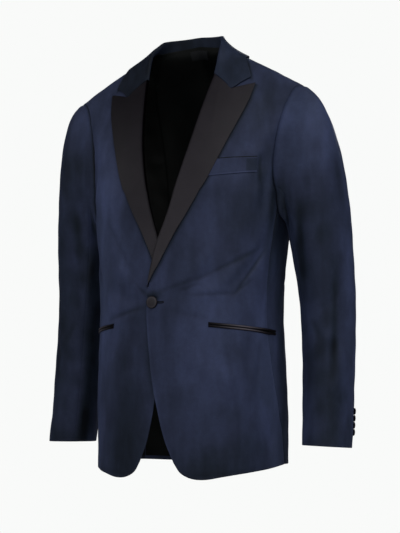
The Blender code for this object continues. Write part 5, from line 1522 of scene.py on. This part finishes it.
def acetate_twill(tree, colour):
    """Acetate lining in a fine twill: a slippery, cool black with faint slanting ribs."""
    flat = node(tree, "ShaderNodeUVMap", uv_map="cloth")
    # ribs are 0.4 mm apart; they are drawn 1.2 mm apart
    turned, spread = (0.0, 0.0, math.radians(63)), (1 / 0.0012, 1 / 0.0012, 1.0)
    slant = node(tree, "ShaderNodeMapping", {"Vector": flat, "Rotation": turned, "Scale": spread})
    waves = {"Vector": slant, "Scale": 1 / BANDS_PER_UNIT, "Distortion": 0.4, "Detail": 1.0}
    ribs = node(tree, "ShaderNodeTexWave", waves, output="Fac", wave_type="BANDS")
    tinted = node(tree, "ShaderNodeMix", {0: ribs, 6: times(colour, 0.8), 7: times(colour, 1.25)}, **MIXED)
    raised = node(tree, "ShaderNodeBump", {"Height": ribs, "Distance": 0.0001, "Strength": 0.5})
    return node(tree, "ShaderNodeBsdfPrincipled", {
        "Base Color": tinted, "Roughness": 0.5, "IOR": 1.47, "Specular IOR Level": 0.15, "Normal": raised,
    })


def woven_tape(tree, colour):
    """Polyester taffeta tape: a flat, close plain weave with a dull shine."""
    flat = node(tree, "ShaderNodeUVMap", uv_map="cloth")
    # yarns are 0.15 mm apart; they are drawn 0.8 mm apart
    yarns = node(tree, "ShaderNodeMapping", {"Vector": flat, "Scale": (1 / 0.0008, 1 / 0.0008, 1.0)})
    weave = node(tree, "ShaderNodeTexChecker", {"Vector": yarns, "Scale": 1.0}, output="Fac")
    tinted = node(tree, "ShaderNodeMix", {0: weave, 6: colour, 7: times(colour, 1.5)}, **MIXED)
    raised = node(tree, "ShaderNodeBump", {"Height": weave, "Distance": 0.0001, "Strength": 0.4})
    return node(tree, "ShaderNodeBsdfPrincipled", {
        "Base Color": tinted, "Roughness": 0.6, "IOR": 1.55, "Specular IOR Level": 0.15, "Normal": raised,
    })


def buttonhole_twist(tree, colour):
    """Buttonhole twist: a thick polished thread laid in close stitches, a little shinier than the pile."""
    flat = node(tree, "ShaderNodeUVMap", uv_map="cloth")
    # the real stitches are 0.5 mm apart; they are drawn 1.1 mm apart
    waves = {"Vector": flat, "Scale": 1 / 0.0011 / BANDS_PER_UNIT, "Distortion": 0.6}
    turns = node(tree, "ShaderNodeTexWave", waves, output="Fac", wave_type="BANDS", bands_direction="Y")
    tinted = node(tree, "ShaderNodeMix", {0: turns, 6: times(colour, 0.6), 7: times(colour, 1.6)}, **MIXED)
    raised = node(tree, "ShaderNodeBump", {"Height": turns, "Distance": 0.0002, "Strength": 0.6})
    return node(tree, "ShaderNodeBsdfPrincipled", {
        "Base Color": tinted, "Roughness": 0.7, "IOR": 1.54, "Specular IOR Level": 0.2, "Normal": raised,
    })


def studio_floor(tree, colour):
    """A painted studio floor: matt, pale and very slightly uneven. The camera sees its lit paint only."""
    place = node(tree, "ShaderNodeTexCoord", output="Object")
    uneven = node(tree, "ShaderNodeTexNoise", {"Vector": place, "Scale": 3.0, "Detail": 3.0})
    share = node(tree, "ShaderNodeMapRange", {0: uneven, 1: 0.3, 2: 0.7, 3: 0.0, 4: 0.1})
    tinted = node(tree, "ShaderNodeMix", {0: share, 6: colour, 7: linear("#E9EAE9")}, **MIXED)
    shader = node(tree, "ShaderNodeBsdfPrincipled", {
        "Base Color": tinted, "Roughness": 0.9, "IOR": 1.45, "Specular IOR Level": 0.2,
    })
    seen = node(tree, "ShaderNodeLightPath", output="Is Camera Ray")
    paint = node(tree, "ShaderNodeEmission", {"Color": BACKDROP, "Strength": 1.0})
    return node(tree, "ShaderNodeMixShader", {0: seen, 1: shader, 2: paint})


# ---- settings in the sidebar ----
SMALLEST_SIZE, LARGEST_SIZE = 0.0005, 1.0


def colour_setting(name, description, colour):
    return bpy.props.FloatVectorProperty(
        name=name, description=description, default=linear(colour), subtype="COLOR", size=4, min=0, max=1
    )


def length_setting(name, description, length):
    return bpy.props.FloatProperty(
        name=name, description=description, default=length, subtype="DISTANCE", unit="LENGTH",
        min=SMALLEST_SIZE, max=LARGEST_SIZE,
    )


class JacketSizes(bpy.types.PropertyGroup):
    """Sizes of the small parts"""

    button_radius: length_setting("Front button", "Radius of the covered front button", BUTTON_RADIUS)
    button_height: length_setting("Front button height", "Height of its dome", BUTTON_HEIGHT)
    cuff_button_radius: length_setting("Cuff button", "Radius of a covered cuff button", CUFF_BUTTON_RADIUS)
    cuff_button_height: length_setting("Cuff button height", "Height of its dome", CUFF_BUTTON_HEIGHT)
    jet_height: length_setting("Pocket jet", "Height of one satin lip of a side pocket", JET_HEIGHT)
    label_width: length_setting("Label width", "Width of the plain neck label", LABEL_SIZE[0])
    label_height: length_setting("Label height", "Height of the plain neck label", LABEL_SIZE[1])


class JacketColours(bpy.types.PropertyGroup):
    """Colours of the cloths and the floor"""

    velvet: colour_setting("Velvet", "The velvet where its pile stands", VELVET_HEX)
    velvet_lean: colour_setting("Leaned velvet", "Where its pile leans to the light", VELVET_LEAN_HEX)
    # the colour that painted shade turns the velvet towards
    velvet_painted_shade: colour_setting("Velvet ground", "The weave below the open pile", VELVET_PAINTED_SHADE_HEX)
    satin: colour_setting("Satin", "Lapels, pocket jets and covered buttons", SATIN_HEX)
    lining: colour_setting("Lining", "The lining inside the body and the sleeves", LINING_HEX)
    tape: colour_setting("Label tape", "The plain neck label", TAPE_HEX)
    thread: colour_setting("Thread", "The buttonhole's stitches", THREAD_HEX)
    floor: colour_setting("Floor", "The floor under the jacket", FLOOR_HEX)


VELVET, TWILL, SATIN_CLOTH = "cotton velvet", "acetate lining twill", "silk satin"
TAPE, TWIST, FLOOR_PAINT = "woven label tape", "buttonhole twist", "matt floor paint"
PANEL_CLOTHS = (VELVET, TWILL, SATIN_CLOTH)  # of its outer face, its inner face and its facing
FINISHES = {  # what makes each finish, and the settings of its colours
    VELVET: (cotton_velvet, "velvet", "velvet_lean", "velvet_painted_shade"),
    SATIN_CLOTH: (silk_satin, "satin"),
    TWILL: (acetate_twill, "lining"),
    TAPE: (woven_tape, "tape"),
    TWIST: (buttonhole_twist, "thread"),
    FLOOR_PAINT: (studio_floor, "floor"),
}


def finish(name):
    """A finish of the jacket, made the first time that it is asked for."""
    made = bpy.data.materials.get(name)
    if made is None:
        made = bpy.data.materials.new(name)
        made.use_nodes = True
        made.node_tree.nodes.clear()
        maker, *settings = FINISHES[name]
        colours = (tuple(getattr(bpy.context.scene.jacket_colours, setting)) for setting in settings)
        surface = maker(made.node_tree, *colours)
        node(made.node_tree, "ShaderNodeOutputMaterial", {"Surface": surface})
    return made


def finishes_of(*names):
    """The finishes of a piece, in the order outer face, inner face, facing."""
    return [finish(name) for name in names]


SIDES = ((1, "left"), (-1, "right"))


class JACKET_OT_body(bpy.types.Operator):
    """Makes the fronts, the side panels and the two halves of the back"""

    bl_idname = "jacket.body"
    bl_label = "Body panels"

    def execute(self, context):
        cloths, edges = finishes_of(*PANEL_CLOTHS), ("left", "right", "top")
        for side, word in SIDES:
            front = body_panel(f"{word}_front", side, front_lines, edges[1:], cloths, facing=True)
            panel = body_panel(f"{word}_side_panel", side, side_lines, edges, cloths, tone=SIDE_PAINTED_SHADE)
            back = body_panel(f"{word}_back", side, back_lines, edges, cloths)
            for made, part in ((front, "front"), (panel, "side"), (back, "back")):
                stands_for(made, "velvet", f"{part}_{word}")
        return {"FINISHED"}


class JACKET_OT_sleeves(bpy.types.Operator):
    """Makes the top and the under piece of each sleeve"""

    bl_idname = "jacket.sleeves"
    bl_label = "Sleeves"

    def execute(self, context):
        for side, word in SIDES:
            top, under = build_sleeve(side, word, finishes_of(*PANEL_CLOTHS))
            parts = ("head", "arm", "forearm")
            stands_for(top, "velvet", *(f"sleeve_{word}_upper_{part}" for part in parts))
            stands_for(under, "velvet", *(f"sleeve_{word}_under_{part}" for part in parts[1:]))
        return {"FINISHED"}


class JACKET_OT_lapels(bpy.types.Operator):
    """Makes the two satin peak lapels, each rolled over the front's edge"""

    bl_idname = "jacket.lapels"
    bl_label = "Lapels"

    def execute(self, context):
        for side, word in SIDES:
            made = build_lapel(side, word, finishes_of(SATIN_CLOTH, VELVET))
            stands_for(made, "satin", f"lapel_{word}")
        return {"FINISHED"}


class JACKET_OT_collar(bpy.types.Operator):
    """Makes the velvet collar with its stand"""

    bl_idname = "jacket.collar"
    bl_label = "Collar"

    def execute(self, context):
        stands_for(build_collar(finishes_of(VELVET, VELVET)), "velvet", "collar")
        return {"FINISHED"}


class JACKET_OT_lining(bpy.types.Operator):
    """Makes the lining behind the neck and the backs"""

    bl_idname = "jacket.lining"
    bl_label = "Back lining"

    def execute(self, context):
        made = shell("back_lining", *fine_lining(), finishes_of(TWILL, TWILL))
        stands_for(made, "lining", "lining_back")
        return {"FINISHED"}


class JACKET_OT_neck_label(bpy.types.Operator):
    """Sews the plain label on the back lining"""

    bl_idname = "jacket.neck_label"
    bl_label = "Neck label"

    def execute(self, context):
        sizes = context.scene.jacket_sizes
        made = build_label((sizes.label_width, sizes.label_height), finishes_of(TAPE, TAPE))
        stands_for(made, "label", "neck_label")
        return {"FINISHED"}


class JACKET_OT_breast_pocket(bpy.types.Operator):
    """Lays the slanting welt of the breast pocket on the left front"""

    bl_idname = "jacket.breast_pocket"
    bl_label = "Breast pocket"

    def execute(self, context):
        stands_for(build_welt(finishes_of(VELVET, VELVET)), "velvet", "breast_welt")
        # the dark strip of lining above the welt's top edge is a painted shadow of the pocket's mouth
        rise = MOUTH_HEIGHT / UPPER_LENGTH
        (end, end_top), (start, start_top) = WELT_CORNERS[2:]
        corners = ((start, start_top), (end, end_top), (end, end_top + rise), (start, start_top + rise))
        made = build_mouth("breast_pocket_mouth", 1, corners, finishes_of(TWILL, TWILL))
        stands_for(made, "lining")
        return {"FINISHED"}


class JACKET_OT_side_pockets(bpy.types.Operator):
    """Lays the two satin jets of each side pocket"""

    bl_idname = "jacket.side_pockets"
    bl_label = "Side pockets"

    def execute(self, context):
        height = context.scene.jacket_sizes.jet_height
        satin, twill = finishes_of(SATIN_CLOTH, SATIN_CLOTH), finishes_of(TWILL, TWILL)
        corners = pocket_corners(-MOUTH_HEIGHT / 2, MOUTH_HEIGHT / 2)
        for side, word in SIDES:
            for part, low, high in (("upper", JET_HALF_GAP, height), ("lower", -height, -JET_HALF_GAP)):
                made = build_jet(f"{word}_pocket_jet_{part}", side, low, high, satin)
                stands_for(made, "satin", f"jet_{word}_{part}")
            stands_for(build_mouth(f"{word}_pocket_mouth", side, corners, twill), "lining")
        return {"FINISHED"}


class JACKET_OT_front_fastening(bpy.types.Operator):
    """Makes the covered front button and its worked buttonhole"""

    bl_idname = "jacket.front_fastening"
    bl_label = "Front fastening"

    def execute(self, context):
        sizes = context.scene.jacket_sizes
        place, facing = on_side(BUTTON_PLACE, 1, BUTTON_GAP)
        size = (sizes.button_radius, sizes.button_height)
        made = build_button("front_covered_button", place, facing, *size, finishes_of(SATIN_CLOTH))
        stands_for(made, "covered_button", "button_front")
        stands_for(build_buttonhole(finish(TWIST)), "velvet")
        return {"FINISHED"}


class JACKET_OT_cuff_buttons(bpy.types.Operator):
    """Makes the four covered buttons of each cuff, set edge to edge"""

    bl_idname = "jacket.cuff_buttons"
    bl_label = "Cuff buttons"

    def execute(self, context):
        sizes = context.scene.jacket_sizes
        size = (sizes.cuff_button_radius, sizes.cuff_button_height)
        for side, word in SIDES:
            for number in range(CUFF_BUTTONS):
                name, satin = f"{word}_cuff_button_{number + 1}", finishes_of(SATIN_CLOTH)
                made = build_button(name, *cuff_button_place(side, number), *size, satin)
                stands_for(made, "covered_button", f"cuff_button_{word}_{number + 1}")
        return {"FINISHED"}


class JACKET_OT_cut_sizes(bpy.types.Operator):
    """Does nothing: no cut sizes are stated"""

    bl_idname = "jacket.cut_sizes"
    bl_label = "Cut sizes"

    def execute(self, context):
        return {"FINISHED"}


# ---- the stage ----
BACKDROP = (0.947, 0.956, 0.947, 1.0)
FLOOR_Z, FLOOR_RADIUS, FLOOR_SIDES = -1.45, 60.0, 96
CAMERA_TURN, CAMERA_RISE, CAMERA_DISTANCE = 26.0, -4.0, 2.8
CAMERA_AIM = (0.014, -0.378)  # across and up, from the origin
FRAME_HEIGHT, FOCAL_PIXELS = 533, 1539  # of the picture, in pixels
SENSOR = 36.0  # in millimetres
STAGE_LIGHT = 0.02  # the backdrop's own light on the jacket
LIGHTS = {  # turn, rise, distance, size and watts
    "key softbox": (72, 45, 3.2, 1.8, 32),
    "front softbox": (26, 42, 3.0, 1.6, 15),
    "low front softbox": (24, 8, 3.0, 1.6, 7),
    "fill softbox": (-20, 8, 3.0, 1.6, 6),
    "side softbox": (-65, 25, 3.0, 1.6, 8),
    "back softbox": (196, 20, 3.2, 1.8, 24),
}


def seen_from(turn, rise):
    """The direction from the jacket to a place round it."""
    turn, rise = math.radians(turn), math.radians(rise)
    return Vector((math.sin(turn) * math.cos(rise), -math.cos(turn) * math.cos(rise), math.sin(rise)))


class JACKET_OT_stage(bpy.types.Operator):
    """Makes the floor, the soft studio lights and the camera"""

    bl_idname = "jacket.stage"
    bl_label = "Stage"

    def execute(self, context):
        scene = context.scene
        mesh = bpy.data.meshes.new("studio_floor")
        turns = all_round(FLOOR_SIDES)
        rim = [(FLOOR_RADIUS * math.cos(turn), FLOOR_RADIUS * math.sin(turn), FLOOR_Z) for turn in turns]
        mesh.from_pydata(rim, [], [list(range(FLOOR_SIDES))])
        mesh.materials.append(finish(FLOOR_PAINT))
        floor = bpy.data.objects.new("studio_floor", mesh)
        scene.collection.objects.link(floor)

        world = bpy.data.worlds.new("pale studio")
        world.use_nodes = True
        tree = world.node_tree
        tree.nodes.clear()
        seen = node(tree, "ShaderNodeLightPath", output="Is Camera Ray")
        lit = node(tree, "ShaderNodeBackground", {"Color": BACKDROP, "Strength": STAGE_LIGHT})
        shown = node(tree, "ShaderNodeBackground", {"Color": BACKDROP, "Strength": 1.0})
        both = node(tree, "ShaderNodeMixShader", {0: seen, 1: lit, 2: shown})
        node(tree, "ShaderNodeOutputWorld", {"Surface": both})
        scene.world = world

        middle = Vector((0, 0, CAMERA_AIM[1]))
        for name, (turn, rise, distance, size, watts) in LIGHTS.items():
            light = bpy.data.lights.new(name, "AREA")
            light.shape, light.size, light.energy = "DISK", size, watts
            lamp = bpy.data.objects.new(name, light)
            away = seen_from(turn, rise)
            lamp.location = middle + away * distance
            lamp.rotation_euler = away.to_track_quat("Z", "Y").to_euler()
            scene.collection.objects.link(lamp)

        data = bpy.data.cameras.new("front camera")
        data.sensor_width = SENSOR
        data.lens = FOCAL_PIXELS / FRAME_HEIGHT * SENSOR
        camera = bpy.data.objects.new("front camera", data)
        back = seen_from(CAMERA_TURN, CAMERA_RISE)
        beside = Vector((math.cos(math.radians(CAMERA_TURN)), math.sin(math.radians(CAMERA_TURN)), 0))
        aim = beside * CAMERA_AIM[0] + Vector((0, 0, CAMERA_AIM[1]))
        camera.location = aim + back * CAMERA_DISTANCE
        camera.rotation_euler = (-back).to_track_quat("-Z", "Y").to_euler()
        scene.collection.objects.link(camera)
        scene.camera = camera
        scene.view_settings.view_transform = "Standard"
        return {"FINISHED"}


class JACKET_PT_panel(bpy.types.Panel):
    """Lists the jacket's pieces, sizes and colours"""

    bl_idname = "JACKET_PT_panel"
    bl_label = "Dinner jacket"
    bl_space_type = "VIEW_3D"
    bl_region_type = "UI"
    bl_category = "Jacket"

    def draw(self, context):
        for group in (context.scene.jacket_sizes, context.scene.jacket_colours):
            box = self.layout.box()
            for setting in type(group).__annotations__:
                box.prop(group, setting)
        for kind in OPERATORS:
            self.layout.operator(kind.bl_idname)


OPERATORS = (
    JACKET_OT_body,
    JACKET_OT_sleeves,
    JACKET_OT_lapels,
    JACKET_OT_collar,
    JACKET_OT_lining,
    JACKET_OT_neck_label,
    JACKET_OT_breast_pocket,
    JACKET_OT_side_pockets,
    JACKET_OT_front_fastening,
    JACKET_OT_cuff_buttons,
    JACKET_OT_cut_sizes,
    JACKET_OT_stage,
)
CLASSES = (JacketSizes, JacketColours, *OPERATORS, JACKET_PT_panel)


def register():
    for kind in CLASSES:
        bpy.utils.register_class(kind)
    bpy.types.Scene.jacket_sizes = bpy.props.PointerProperty(type=JacketSizes)
    bpy.types.Scene.jacket_colours = bpy.props.PointerProperty(type=JacketColours)


def unregister():
    del bpy.types.Scene.jacket_colours
    del bpy.types.Scene.jacket_sizes
    for kind in reversed(CLASSES):
        bpy.utils.unregister_class(kind)


def main():
    register()
    bpy.ops.jacket.body()
    bpy.ops.jacket.sleeves()
    bpy.ops.jacket.lapels()
    bpy.ops.jacket.collar()
    bpy.ops.jacket.lining()
    bpy.ops.jacket.neck_label()
    bpy.ops.jacket.breast_pocket()
    bpy.ops.jacket.side_pockets()
    bpy.ops.jacket.front_fastening()
    bpy.ops.jacket.cuff_buttons()
    bpy.ops.jacket.cut_sizes()
    bpy.ops.jacket.stage()


if __name__ == "__main__":
    main()
